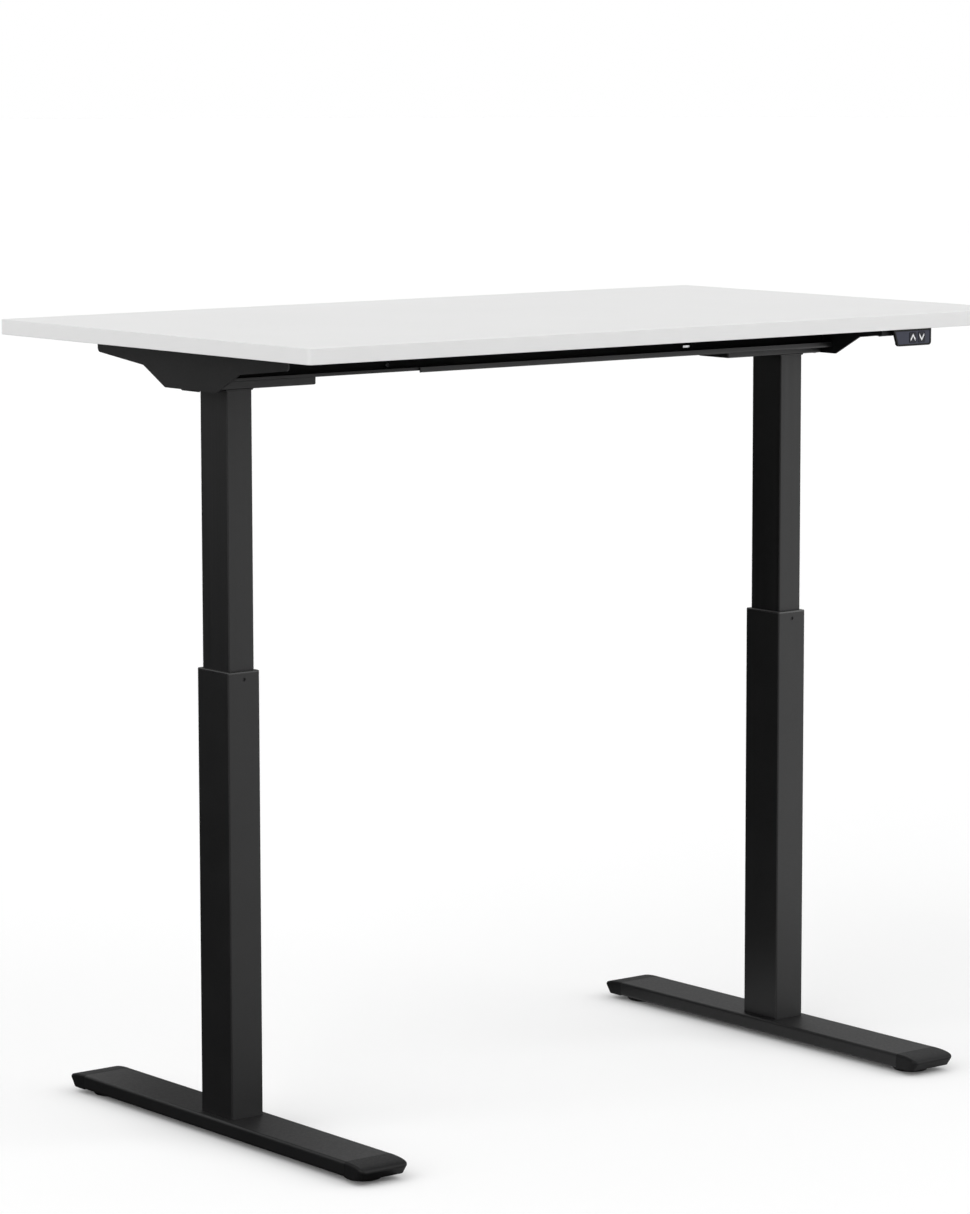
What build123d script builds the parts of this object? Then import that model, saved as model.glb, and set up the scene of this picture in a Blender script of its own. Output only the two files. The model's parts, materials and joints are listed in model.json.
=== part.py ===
from build123d import *
import math
import os

# Height adjustable standing desk, in millimetres.
# The origin is on the floor under the middle of the desktop.
# X runs along the desk, the user sits on the -Y side and Z points up.
# Pieces of the left leg are drawn in place; the right leg is their mirror image.

# Desktop
TOP_WIDTH = 1200.0
TOP_DEPTH = 700.0
TOP_THICKNESS = 20.0
TOP_CORNER_RADIUS = 6.0
BAND_THICKNESS = 1.0
BAND_CHAMFER = 0.4
DESK_HEIGHT = 1060.0

# Legs
LEG_INSET = 124.0
LEG_Y = 5.0
OUTER_WIDTH = 50.0
OUTER_DEPTH = 70.0
OUTER_WALL = 1.5
OUTER_RADIUS = 2.25
OUTER_LENGTH = 588.0
INNER_WIDTH = 40.0
INNER_DEPTH = 60.0
INNER_WALL = 1.5
INNER_RADIUS = 2.0
LEG_OVERLAP = 227.0
SLIDE_CLEARANCE = 0.2
SEAT_CLEARANCE = 0.1
GLIDE_HEIGHT = 30.0
GLIDE_LIP = 2.0
COLLAR_SLEEVE = 30.0
COLLAR_FLANGE = 2.5
COLLAR_CHAMFER = 0.8
COLLAR_SCREW_DIAMETER = 5.0
COLLAR_SCREW_DROP = 8.0
COLLAR_SCREW_SINK = 0.8
COLLAR_SCREW_SOCKET = 2.5

# Feet
FOOT_LENGTH = 672.0
FOOT_WIDTH = 75.0
FOOT_HEIGHT = 20.0
FOOT_WALL = 2.0
FOOT_RADIUS = 4.0
CAP_LENGTH = 38.0
CAP_NOSE_HEIGHT = 11.0
CAP_UNDERCUT = 8.0
CAP_FLAT_SHARE = 0.60
CAP_BLUNT_SHARE = 0.35
CAP_CORNER_RADIUS = 8.0
CAP_EDGE_RADIUS = 3.5
CAP_PLUG_LENGTH = 30.0
PAD_DIAMETER = 50.0
PAD_HEIGHT = 7.0
PAD_GAP = 1.0
PAD_CHAMFER = 1.2
LEVELLER_SETBACK = 10.0
STUD_DIAMETER = 8.0
STUD_LENGTH = 11.0
STUD_END_GAP = 1.0
INSERT_FLATS = 13.0
INSERT_HEIGHT = 6.5
INSERT_FLOOR = 1.0
RUNNING_CLEARANCE = 0.05

# Leg to foot joint
BASE_THICKNESS = 8.0
BASE_BOSS_HEIGHT = 6.0
FOOT_BOLT_DIAMETER = 6.0
FOOT_BOLT_HEAD = 10.0
FOOT_BOLT_HEAD_HEIGHT = 5.0
FOOT_BOLT_SPAN_X = 28.0
FOOT_BOLT_SPAN_Y = 48.0
FOOT_BOLT_COVER = 1.0
BOLT_HOLE_CLEARANCE = 0.3
ACCESS_HOLE_CLEARANCE = 1.5

# Lifting drive inside each leg
SPINDLE_DIAMETER = 16.0
JOURNAL_DIAMETER = 10.0
SPINDLE_CHAMFER = 1.5
PUSH_TUBE_DIAMETER = 28.0
PUSH_TUBE_WALL = 3.0
NUT_DIAMETER = 32.0
NUT_HEIGHT = 40.0
NUT_SPIGOT = 10.0
NUT_DROP = 27.0
BEARING_DIAMETER = 26.0
BEARING_HEIGHT = 8.0
BEARING_LIP = 1.0
BEARING_LIP_WIDTH = 4.0
END_PLAY = 0.3

# Motor, gearbox and bevel gears
MOTOR_DIAMETER = 44.0
MOTOR_LENGTH = 80.0
MOTOR_ROOM = 4.0
MOTOR_REAR_BOSS = 18.0
MOTOR_REAR_BOSS_LENGTH = 4.0
SHAFT_DIAMETER = 8.0
SHAFT_DEPTH = 30.0
GEARBOX_LENGTH = 56.0
GEARBOX_WIDTH = 54.0
GEARBOX_WALL = 5.0
GEARBOX_COVER = 3.0
GEARBOX_TOP_GAP = 2.0
GEARBOX_SCREW_DIAMETER = 3.0
GEARBOX_SCREW_LENGTH = 12.0
GEARBOX_SCREW_HEAD = 5.0
GEARBOX_SCREW_HEAD_HEIGHT = 1.6
GEAR_MODULE = 1.6
GEAR_TEETH = 20
PINION_TEETH = 10
GEAR_FACE = 7.0
TOOTH_ADDENDUM = 1.1
TOOTH_DEDENDUM = 1.7
TOOTH_ROOTING = 0.2
TOOTH_PITCH_SHARE = 0.36
TOOTH_FLANK_ANGLE = 20.0
GEAR_WEB = 3.0
GEAR_HUB_DIAMETER = 18.0
PINION_BACK = 3.0

# Steel frame under the desktop
SHEET = 2.0
SHEET_BEND = 0.5
HEAD_WIDTH = 64.0
HEAD_INBOARD = 121.0
SPINDLE_HOLE_CLEARANCE = 2.0
BRACKET_OFFSET = 57.0
BRACKET_SHIFT = -3.0
BRACKET_LENGTH = 430.0
BRACKET_FLAT = 117.0
BRACKET_SHOULDER = 216.0
SHOULDER_DROP = 30.0
BRACKET_END_DROP = 18.5
BRACKET_CORNER_RADIUS = 6.0
FLANGE_WIDTH = 32.0
RAIL_DEPTH = 22.0
RAIL_HEIGHT = 45.0
RAIL_WALL = 2.0
RAIL_BEND = 1.0
RAIL_LIP = 7.0
RAIL_END_SWEEP = 20.0
RAIL_NEST_CLEARANCE = 0.5
RAIL_SIDE_GAP = 0.5
OUTER_RAIL_START = -202.0
INNER_RAIL_LENGTH = 680.0
RAIL_SLOT_X = 277.5
RAIL_SLOT_LENGTH = 15.0
RAIL_SLOT_HEIGHT = 3.6
RAIL_SLOT_RISE = 11.0
SLOT_NUT_MARGIN = 2.0
SLOT_NUT_THICKNESS = 3.0
STOP_SCREW_REACH = 43.0
STOP_SCREW_RISE = 11.0
LOCK_SCREW_INSET = 50.0
RAIL_SCREW_DIAMETER = 5.0
RAIL_SCREW_HEAD = 7.5
RAIL_SCREW_HEAD_HEIGHT = 2.5
RAIL_NUT_FLATS = 8.0
RAIL_NUT_THICKNESS = 3.0

# Desktop screws
WOOD_SCREW_DIAMETER = 4.0
WOOD_SCREW_HEAD = 8.0
WOOD_SCREW_HEAD_HEIGHT = 2.5
WOOD_SCREW_BITE = 13.0
BRACKET_SCREW_SPANS = (180.0, 380.0)

# Control box between the rails
CONTROL_LENGTH = 240.0
CONTROL_WIDTH = 46.0
CONTROL_HEIGHT = 38.0
CONTROL_WALL = 2.0
CONTROL_LID = 4.0
CONTROL_EAR = 18.0
CONTROL_BOARD_THICKNESS = 1.6
CONTROL_BOARD_RISE = 6.0
CONTROL_POST_DIAMETER = 6.0
CONTROL_POST_INSET = 10.0
SOCKET_WIDTH = 10.0
SOCKET_HEIGHT = 8.0
SOCKET_PITCH = 13.0
SOCKET_COUNT = 3
INLET_WIDTH = 24.0
INLET_HEIGHT = 18.0

# Keypad under the front edge
KEYPAD_INSET = 164.0
KEYPAD_WIDTH = 69.0
KEYPAD_HEIGHT = 22.4
KEYPAD_SLANT = 7.5
KEYPAD_DEPTH = 20.0
KEYPAD_BEZEL = 4.0
KEYPAD_BODY_WIDTH = 46.0
KEYPAD_BODY_INSET = 2.0
KEYPAD_BODY_RISE = 1.0
KEYPAD_RADIUS = 4.5
KEYPAD_RIM = 2.4
KEYPAD_WALL = 2.0
PANEL_SINK = 0.6
PANEL_THICKNESS = 1.9
PANEL_CLEARANCE = 0.15
KEYPAD_PLATE_WIDTH = 88.0
KEYPAD_PLATE_SHIFT = -5.0
KEYPAD_PLATE_DEPTH = 36.0
KEYPAD_PLATE_HEIGHT = 8.0
KEYPAD_PLATE_INSET = 8.0
KEYPAD_SCREW_SPAN = 60.0
KEYPAD_SCREW_INSET = 30.0
KEYPAD_POST_DIAMETER = 5.0
KEYPAD_POST_SPAN = 24.0
BOARD_THICKNESS = 1.6
BOARD_MARGIN = 1.0
SWITCH_SIZE = 6.0
SWITCH_HEIGHT = 4.0
BUTTON_WIDTH = 13.0
BUTTON_HEIGHT = 14.0
BUTTON_PITCH = 16.0
BUTTON_X = -0.5
BUTTON_RADIUS = 1.5
BUTTON_FLANGE = 1.0
BUTTON_TRAVEL = 0.8
BUTTON_PLAY = 0.2

# Levels and places that follow from the sizes above
desk_under = DESK_HEIGHT - TOP_THICKNESS
foot_under = PAD_HEIGHT + PAD_GAP
foot_top = foot_under + FOOT_HEIGHT
base_top = foot_top + BASE_THICKNESS
outer_top = foot_top + OUTER_LENGTH
inner_bottom = outer_top - LEG_OVERLAP
head_top = desk_under - SHEET
motor_z = head_top - MOTOR_ROOM - MOTOR_DIAMETER / 2
head_under = motor_z - MOTOR_DIAMETER / 2 - MOTOR_ROOM - SHEET
nut_top = outer_top - NUT_DROP
nut_bottom = nut_top - NUT_HEIGHT
gearbox_floor = head_under + SHEET
gearbox_top = head_top - GEARBOX_TOP_GAP
gearbox_rim = gearbox_top - GEARBOX_COVER
bearing_bottom = gearbox_floor + BEARING_LIP
bearing_top = bearing_bottom + BEARING_HEIGHT
gear_radius = GEAR_MODULE * GEAR_TEETH / 2
pinion_radius = GEAR_MODULE * PINION_TEETH / 2
leg_x = LEG_INSET - TOP_WIDTH / 2
plate_face = leg_x - BRACKET_OFFSET
plate_back = plate_face + SHEET
foot_seam = LEG_Y - FOOT_LENGTH / 2 + CAP_LENGTH
foot_nose = LEG_Y - FOOT_LENGTH / 2
leveller_y = foot_seam + LEVELLER_SETBACK
insert_bottom = foot_under + FOOT_WALL + INSERT_FLOOR
bracket_y = LEG_Y + BRACKET_SHIFT
desk_front = -TOP_DEPTH / 2

MIRROR_X = Plane.YZ
MIRROR_LEG_Y = Plane(origin=(0, LEG_Y, 0), x_dir=(1, 0, 0), z_dir=(0, 1, 0))

pieces = {}


def add_pair(name, left_solid):
    """Store a left piece and its mirror image on the right leg."""
    pieces["left_" + name] = left_solid
    pieces["right_" + name] = mirror(left_solid, about=MIRROR_X)


def both_legs(left_solids):
    """Give the left solids and their mirror images as one group."""
    right_solids = [mirror(solid, about=MIRROR_X) for solid in left_solids]
    return Compound(list(left_solids) + right_solids)


def slab(x0, x1, y0, y1, z0, z1):
    """Box between two corners."""
    middle = Pos((x0 + x1) / 2, (y0 + y1) / 2, (z0 + z1) / 2)
    return middle * Box(x1 - x0, y1 - y0, z1 - z0)


def upright(x, y, z0, z1, diameter):
    """Cylinder standing along Z."""
    return Pos(x, y, (z0 + z1) / 2) * Cylinder(diameter / 2, z1 - z0)


def across_y(x, z, y0, y1, diameter):
    """Cylinder lying along Y."""
    return Pos(x, (y0 + y1) / 2, z) * Rot(90, 0, 0) * Cylinder(diameter / 2, y1 - y0)


def along_x(y, z, x0, x1, diameter):
    """Cylinder lying along X."""
    return Pos((x0 + x1) / 2, y, z) * Rot(0, 90, 0) * Cylinder(diameter / 2, x1 - x0)


def prism(x, y, z0, z1, width, depth, radius):
    """Upright block with rounded corners."""
    return Pos(x, y, z0) * extrude(RectangleRounded(width, depth, radius), z1 - z0)


def leg_block(z0, z1, width, depth, radius):
    """Rounded block centred on the left leg."""
    return prism(leg_x, LEG_Y, z0, z1, width, depth, radius)


def outer_bore(z0, z1, gap=0.0):
    """Space inside the outer tube, less a gap all round."""
    width = OUTER_WIDTH - 2 * OUTER_WALL - 2 * gap
    depth = OUTER_DEPTH - 2 * OUTER_WALL - 2 * gap
    return leg_block(z0, z1, width, depth, OUTER_RADIUS - OUTER_WALL)


def inner_block(z0, z1, gap=0.0):
    """Outside of the inner tube, plus a gap all round."""
    return leg_block(z0, z1, INNER_WIDTH + 2 * gap, INNER_DEPTH + 2 * gap, INNER_RADIUS)


def inner_bore(z0, z1):
    """Space inside the inner tube."""
    width = INNER_WIDTH - 2 * INNER_WALL
    depth = INNER_DEPTH - 2 * INNER_WALL
    return leg_block(z0, z1, width, depth, INNER_RADIUS - INNER_WALL)


def side_profile(points):
    """Sketch on the YZ plane from (y, z) points."""
    return Plane.YZ * make_face(Polyline(*points, close=True))


# Feet

def foot_section(shrink, y0, y1):
    """Length of the foot's rounded section, drawn in by shrink on each side."""
    width = FOOT_WIDTH - 2 * shrink
    height = FOOT_HEIGHT - 2 * shrink
    radius = FOOT_RADIUS - min(shrink, FOOT_WALL)
    section = RectangleRounded(width, height, radius)
    plane = Plane(origin=(leg_x, y0, foot_under + FOOT_HEIGHT / 2), x_dir=(1, 0, 0), z_dir=(0, 1, 0))
    return extrude(plane * section, y1 - y0)


def foot_bolt_places():
    return [
        (leg_x + side_x * FOOT_BOLT_SPAN_X / 2, LEG_Y + side_y * FOOT_BOLT_SPAN_Y / 2)
        for side_x in (-1, 1)
        for side_y in (-1, 1)
    ]


def foot_beam():
    rear_seam = 2 * LEG_Y - foot_seam
    beam = foot_section(0, foot_seam, rear_seam) - foot_section(FOOT_WALL, foot_seam, rear_seam)
    middle = foot_under + FOOT_HEIGHT / 2
    for x, y in foot_bolt_places():
        beam -= upright(x, y, middle, foot_top, FOOT_BOLT_DIAMETER + 2 * BOLT_HOLE_CLEARANCE)
        beam -= upright(x, y, foot_under, middle, FOOT_BOLT_HEAD + 2 * ACCESS_HOLE_CLEARANCE)
    for y in (leveller_y, 2 * LEG_Y - leveller_y):
        beam -= upright(leg_x, y, foot_under, middle, STUD_DIAMETER + 2 * BOLT_HOLE_CLEARANCE)
    return beam


def front_foot_cap():
    """Domed end cap with an undercut nose, and a plug in the beam that holds the leveller's insert."""
    nose_top = foot_under + CAP_NOSE_HEIGHT
    flat_end = foot_seam - CAP_FLAT_SHARE * CAP_LENGTH
    blunt_top = foot_top - CAP_BLUNT_SHARE * (foot_top - nose_top)
    outline = Curve() + [
        Line((foot_seam, foot_under), (foot_seam, foot_top)),
        Bezier((foot_seam, foot_top), (flat_end, foot_top), (foot_nose, blunt_top), (foot_nose, nose_top)),
        Line((foot_nose, nose_top), (foot_nose + CAP_UNDERCUT, foot_under)),
        Line((foot_nose + CAP_UNDERCUT, foot_under), (foot_seam, foot_under)),
    ]
    body = extrude(Plane.YZ.offset(-FOOT_WIDTH / 2) * make_face(outline), FOOT_WIDTH)
    nose = body.faces().filter_by(GeomType.PLANE).sort_by(Axis.Y)[0]
    body = fillet(nose.edges().filter_by(Axis.X, reverse=True), CAP_CORNER_RADIUS)
    dome = body.faces().sort_by(Axis.Z)[-1]
    body = fillet(dome.edges().sort_by(Axis.Y)[:-1], CAP_EDGE_RADIUS)
    cap = Pos(leg_x, 0, 0) * body
    cap += foot_section(FOOT_WALL + SEAT_CLEARANCE, foot_seam, foot_seam + CAP_PLUG_LENGTH)
    cap -= insert_block(SEAT_CLEARANCE)
    stud_top = foot_under - PAD_GAP + STUD_LENGTH
    cap -= upright(leg_x, leveller_y, foot_under, stud_top + STUD_END_GAP,
                   STUD_DIAMETER + 2 * BOLT_HOLE_CLEARANCE)
    return cap


def insert_block(gap=0.0):
    """Hexagon of the leveller's threaded insert, plus a gap round and above it."""
    hexagon = RegularPolygon(INSERT_FLATS / 2 + gap, 6, major_radius=False)
    return Pos(leg_x, leveller_y, insert_bottom) * extrude(hexagon, INSERT_HEIGHT + gap)


def front_insert():
    bore_diameter = STUD_DIAMETER + 2 * RUNNING_CLEARANCE
    return insert_block() - upright(leg_x, leveller_y, foot_under, foot_top, bore_diameter)


def front_leveller():
    """Round pad with its stud."""
    pad = upright(leg_x, leveller_y, 0, PAD_HEIGHT, PAD_DIAMETER)
    pad = chamfer(pad.edges().filter_by(GeomType.CIRCLE), PAD_CHAMFER)
    stud = upright(leg_x, leveller_y, PAD_HEIGHT, PAD_HEIGHT + STUD_LENGTH, STUD_DIAMETER)
    return pad + stud


def rear(front_solid):
    """Mirror a front foot piece to the rear end of the foot."""
    return mirror(front_solid, about=MIRROR_LEG_Y)


add_pair("foot_beam", foot_beam())
cap = front_foot_cap()
add_pair("front_foot_cap", cap)
add_pair("rear_foot_cap", rear(cap))
insert = front_insert()
pieces["leveller_inserts"] = both_legs([insert, rear(insert)])
leveller = front_leveller()
add_pair("front_leveller", leveller)
add_pair("rear_leveller", rear(leveller))


# Leg tubes

def base_plate():
    plate = outer_bore(foot_top, base_top, SEAT_CLEARANCE)
    boss_diameter = PUSH_TUBE_DIAMETER - 2 * PUSH_TUBE_WALL - 2 * SEAT_CLEARANCE
    plate += upright(leg_x, LEG_Y, base_top, base_top + BASE_BOSS_HEIGHT, boss_diameter)
    for x, y in foot_bolt_places():
        plate -= upright(x, y, foot_top, base_top, FOOT_BOLT_DIAMETER + 2 * RUNNING_CLEARANCE)
    return plate


def foot_bolt(x, y):
    seat = foot_top - FOOT_WALL
    head = upright(x, y, seat - FOOT_BOLT_HEAD_HEIGHT, seat, FOOT_BOLT_HEAD)
    return head + upright(x, y, seat, base_top - FOOT_BOLT_COVER, FOOT_BOLT_DIAMETER)


def collar_screw_hole(diameter, y0, y1):
    return across_y(leg_x, outer_top - COLLAR_SCREW_DROP, y0, y1, diameter)


front_of_leg = LEG_Y - OUTER_DEPTH / 2
collar_screw_depth = OUTER_WALL + (OUTER_DEPTH / 2 - OUTER_WALL - INNER_DEPTH / 2) / 2


def outer_tube():
    tube = leg_block(foot_top, outer_top, OUTER_WIDTH, OUTER_DEPTH, OUTER_RADIUS)
    tube -= outer_bore(foot_top, outer_top)
    hole_diameter = COLLAR_SCREW_DIAMETER + 2 * SEAT_CLEARANCE
    return tube - collar_screw_hole(hole_diameter, front_of_leg, front_of_leg + OUTER_WALL)


def tube_collar():
    """Guide sleeve inside the outer tube with a flange on the tube's end."""
    top = outer_top + COLLAR_FLANGE
    flange = leg_block(outer_top, top, OUTER_WIDTH, OUTER_DEPTH, OUTER_RADIUS)
    flange = chamfer(flange.faces().sort_by(Axis.Z)[-1].edges(), COLLAR_CHAMFER)
    bottom = outer_top - COLLAR_SLEEVE
    collar = flange + outer_bore(bottom, outer_top, SEAT_CLEARANCE)
    collar -= inner_block(bottom, top, SLIDE_CLEARANCE)
    hole_diameter = COLLAR_SCREW_DIAMETER + 2 * SEAT_CLEARANCE
    return collar - collar_screw_hole(hole_diameter, front_of_leg, front_of_leg + collar_screw_depth)


def collar_screw():
    face = front_of_leg + COLLAR_SCREW_SINK
    tip = front_of_leg + collar_screw_depth - SEAT_CLEARANCE
    screw = collar_screw_hole(COLLAR_SCREW_DIAMETER, face, tip)
    return screw - collar_screw_hole(COLLAR_SCREW_SOCKET, face, face + OUTER_WALL)


def inner_tube():
    return inner_block(inner_bottom, head_under) - inner_bore(inner_bottom, head_under)


def tube_glide():
    """Slide shoe round the inner tube's lower end, with a lip under it."""
    bottom = inner_bottom - GLIDE_LIP
    shoe = outer_bore(bottom, inner_bottom + GLIDE_HEIGHT, SLIDE_CLEARANCE)
    shoe -= inner_block(inner_bottom, inner_bottom + GLIDE_HEIGHT, SEAT_CLEARANCE)
    return shoe - inner_bore(bottom, inner_bottom)


pieces["base_plates"] = both_legs([base_plate()])
pieces["foot_bolts"] = both_legs([foot_bolt(x, y) for x, y in foot_bolt_places()])
add_pair("outer_tube", outer_tube())
add_pair("tube_collar", tube_collar())
pieces["collar_screws"] = both_legs([collar_screw()])
add_pair("inner_tube", inner_tube())
add_pair("tube_glide", tube_glide())


# Lifting drive

push_tube_bore = PUSH_TUBE_DIAMETER - 2 * PUSH_TUBE_WALL


def push_tube():
    tube = upright(leg_x, LEG_Y, base_top, nut_bottom, PUSH_TUBE_DIAMETER)
    return tube - upright(leg_x, LEG_Y, base_top, nut_bottom, push_tube_bore)


def drive_nut():
    nut = upright(leg_x, LEG_Y, nut_bottom, nut_top, NUT_DIAMETER)
    nut += upright(leg_x, LEG_Y, nut_bottom - NUT_SPIGOT, nut_bottom, push_tube_bore - 2 * SEAT_CLEARANCE)
    bore_diameter = SPINDLE_DIAMETER + 2 * RUNNING_CLEARANCE
    return nut - upright(leg_x, LEG_Y, nut_bottom - NUT_SPIGOT, nut_top, bore_diameter)


journal_bottom = bearing_bottom - END_PLAY
journal_top = motor_z - pinion_radius + GEAR_MODULE


def spindle():
    """Lifting screw with the journal that carries its gear."""
    screw = upright(leg_x, LEG_Y, inner_bottom, journal_bottom, SPINDLE_DIAMETER)
    screw = chamfer(screw.edges().filter_by(GeomType.CIRCLE).group_by(Axis.Z)[0], SPINDLE_CHAMFER)
    return screw + upright(leg_x, LEG_Y, journal_bottom, journal_top, JOURNAL_DIAMETER)


def spindle_bearing():
    bearing = upright(leg_x, LEG_Y, bearing_bottom, bearing_top, BEARING_DIAMETER - 2 * RUNNING_CLEARANCE)
    bore_diameter = JOURNAL_DIAMETER + 2 * RUNNING_CLEARANCE
    return bearing - upright(leg_x, LEG_Y, bearing_bottom, bearing_top, bore_diameter)


def bevel_tooth(own_radius, mate_radius):
    """One tooth towards +X, on a cone with its tip at the origin."""
    small_end = 1.0 - GEAR_FACE / math.hypot(own_radius, mate_radius)
    half_pitch_line = math.pi * GEAR_MODULE * TOOTH_PITCH_SHARE / 2
    slope = math.tan(math.radians(TOOTH_FLANK_ANGLE))
    half_root = half_pitch_line + TOOTH_DEDENDUM * slope
    half_tip = half_pitch_line - TOOTH_ADDENDUM * slope
    sections = []
    for scale in (1.0, small_end):
        plane = Plane(
            origin=(own_radius * scale, 0, -mate_radius * scale),
            x_dir=(0, 1, 0),
            z_dir=(own_radius, 0, -mate_radius),
        )
        corners = [
            (-half_root * scale, -TOOTH_DEDENDUM * scale),
            (half_root * scale, -TOOTH_DEDENDUM * scale),
            (half_tip * scale, TOOTH_ADDENDUM * scale),
            (-half_tip * scale, TOOTH_ADDENDUM * scale),
        ]
        sections.append(plane * make_face(Polyline(*corners, close=True)))
    return loft(sections, ruled=True)


def bevel_gear(own_radius, mate_radius, teeth, blank_points, turn):
    """Bevel gear about Z below the cones' common tip at the origin."""
    blank = revolve(Plane.XZ * make_face(Polyline(*blank_points, close=True)), Axis.Z)
    tooth = bevel_tooth(own_radius, mate_radius)
    step = 360.0 / teeth
    return blank + [Rot(0, 0, turn + step * index) * tooth for index in range(teeth)]


def root_points(own_radius, mate_radius):
    """Large and small ends of the root cone's side, as (r, z)."""
    cone_length = math.hypot(own_radius, mate_radius)
    small_end = 1.0 - GEAR_FACE / cone_length
    depth = TOOTH_DEDENDUM - TOOTH_ROOTING
    large_r = own_radius - depth * mate_radius / cone_length
    large_z = -mate_radius - depth * own_radius / cone_length
    return (large_r, large_z), (large_r * small_end, large_z * small_end)


def spindle_gear():
    """Crown gear on the spindle's journal."""
    large, small = root_points(gear_radius, pinion_radius)
    bore = JOURNAL_DIAMETER / 2 + RUNNING_CLEARANCE / 2
    hub_bottom = bearing_top + END_PLAY - motor_z
    web_bottom = large[1] - GEAR_WEB
    blank = [
        (bore, hub_bottom),
        (GEAR_HUB_DIAMETER / 2, hub_bottom),
        (GEAR_HUB_DIAMETER / 2, web_bottom),
        (large[0], web_bottom),
        large,
        small,
        (bore, small[1]),
    ]
    gear = bevel_gear(gear_radius, pinion_radius, GEAR_TEETH, blank, 0.0)
    return Pos(leg_x, LEG_Y, motor_z) * gear


gearbox_end = leg_x + GEARBOX_LENGTH / 2


def motor_pinion():
    """Motor shaft with the pinion that turns the crown gear."""
    large, small = root_points(pinion_radius, gear_radius)
    back = large[1] - PINION_BACK
    blank = [(0, back), (large[0], back), large, small, (0, small[1])]
    half_step = 180.0 / PINION_TEETH
    pinion = bevel_gear(pinion_radius, gear_radius, PINION_TEETH, blank, half_step)
    shaft_end = GEARBOX_LENGTH / 2 + SHAFT_DEPTH
    shaft = upright(0, 0, -shaft_end, back, SHAFT_DIAMETER)
    return Pos(leg_x, LEG_Y, motor_z) * Rot(0, -90, 0) * (pinion + shaft)


def motor():
    """Motor can on the gearbox's inboard end, bored for its shaft."""
    can_end = gearbox_end + MOTOR_LENGTH - MOTOR_REAR_BOSS_LENGTH
    can = along_x(LEG_Y, motor_z, gearbox_end, can_end, MOTOR_DIAMETER)
    can += along_x(LEG_Y, motor_z, can_end, gearbox_end + MOTOR_LENGTH, MOTOR_REAR_BOSS)
    bore_diameter = SHAFT_DIAMETER + 2 * RUNNING_CLEARANCE
    return can - along_x(LEG_Y, motor_z, gearbox_end, gearbox_end + SHAFT_DEPTH + END_PLAY, bore_diameter)


def gearbox_block(z0, z1, shrink=0.0):
    half_x = GEARBOX_LENGTH / 2 - shrink
    half_y = GEARBOX_WIDTH / 2 - shrink
    return slab(leg_x - half_x, leg_x + half_x, LEG_Y - half_y, LEG_Y + half_y, z0, z1)


def gearbox_screw_places():
    reach_x = GEARBOX_LENGTH / 2 - GEARBOX_WALL / 2
    reach_y = GEARBOX_WIDTH / 2 - GEARBOX_WALL / 2
    return [(leg_x + a * reach_x, LEG_Y + b * reach_y) for a in (-1, 1) for b in (-1, 1)]


def gearbox():
    """Open-topped gear housing with a bearing seat in its floor."""
    box = gearbox_block(gearbox_floor, gearbox_rim)
    box -= gearbox_block(bearing_top, gearbox_rim, GEARBOX_WALL)
    box -= upright(leg_x, LEG_Y, bearing_bottom, bearing_top, BEARING_DIAMETER)
    lip_diameter = BEARING_DIAMETER - 2 * BEARING_LIP_WIDTH
    box -= upright(leg_x, LEG_Y, gearbox_floor, bearing_bottom, lip_diameter)
    shaft_hole = SHAFT_DIAMETER + 2 * RUNNING_CLEARANCE
    box -= along_x(LEG_Y, motor_z, gearbox_end - GEARBOX_WALL, gearbox_end, shaft_hole)
    thread_bottom = gearbox_rim - GEARBOX_SCREW_LENGTH
    for x, y in gearbox_screw_places():
        box -= upright(x, y, thread_bottom, gearbox_rim, GEARBOX_SCREW_DIAMETER + 2 * RUNNING_CLEARANCE)
    return box


def gearbox_cover():
    cover = gearbox_block(gearbox_rim, gearbox_top)
    for x, y in gearbox_screw_places():
        cover -= upright(x, y, gearbox_rim, gearbox_top, GEARBOX_SCREW_DIAMETER + 2 * SEAT_CLEARANCE)
    return cover


def gearbox_screw(x, y):
    thread_bottom = gearbox_rim - GEARBOX_SCREW_LENGTH + END_PLAY
    head_end = gearbox_top + GEARBOX_SCREW_HEAD_HEIGHT
    screw = upright(x, y, thread_bottom, gearbox_top, GEARBOX_SCREW_DIAMETER)
    return screw + upright(x, y, gearbox_top, head_end, GEARBOX_SCREW_HEAD)


add_pair("push_tube", push_tube())
pieces["drive_nuts"] = both_legs([drive_nut()])
add_pair("spindle", spindle())
add_pair("spindle_gear", spindle_gear())
pieces["spindle_bearings"] = both_legs([spindle_bearing()])
add_pair("motor_pinion", motor_pinion())
add_pair("motor", motor())
add_pair("gearbox", gearbox())
add_pair("gearbox_cover", gearbox_cover())
pieces["gearbox_screws"] = both_legs([gearbox_screw(x, y) for x, y in gearbox_screw_places()])


# Frame under the desktop

def head_shell(shrink, floor):
    """Block of the head box, drawn in by shrink at its sides and rounded at its bends."""
    half_width = HEAD_WIDTH / 2 - shrink
    block = slab(plate_back + shrink, leg_x + HEAD_INBOARD - shrink,
                 LEG_Y - half_width, LEG_Y + half_width, floor, head_top)
    bends = block.faces().sort_by(Axis.Z)[0].edges() + block.edges().filter_by(Axis.Z)
    return fillet(bends, SHEET_BEND + SHEET - shrink)


def head_box():
    """Folded steel housing on the inner tube, open towards the desktop."""
    box = head_shell(0.0, head_under) - head_shell(SHEET, gearbox_floor)
    hole_diameter = SPINDLE_DIAMETER + 2 * SPINDLE_HOLE_CLEARANCE
    return box - upright(leg_x, LEG_Y, head_under, gearbox_floor, hole_diameter)


flange_screw_x = plate_face + FLANGE_WIDTH / 2
flange_screw_ys = [bracket_y + side * span / 2 for span in BRACKET_SCREW_SPANS for side in (-1, 1)]


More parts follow.
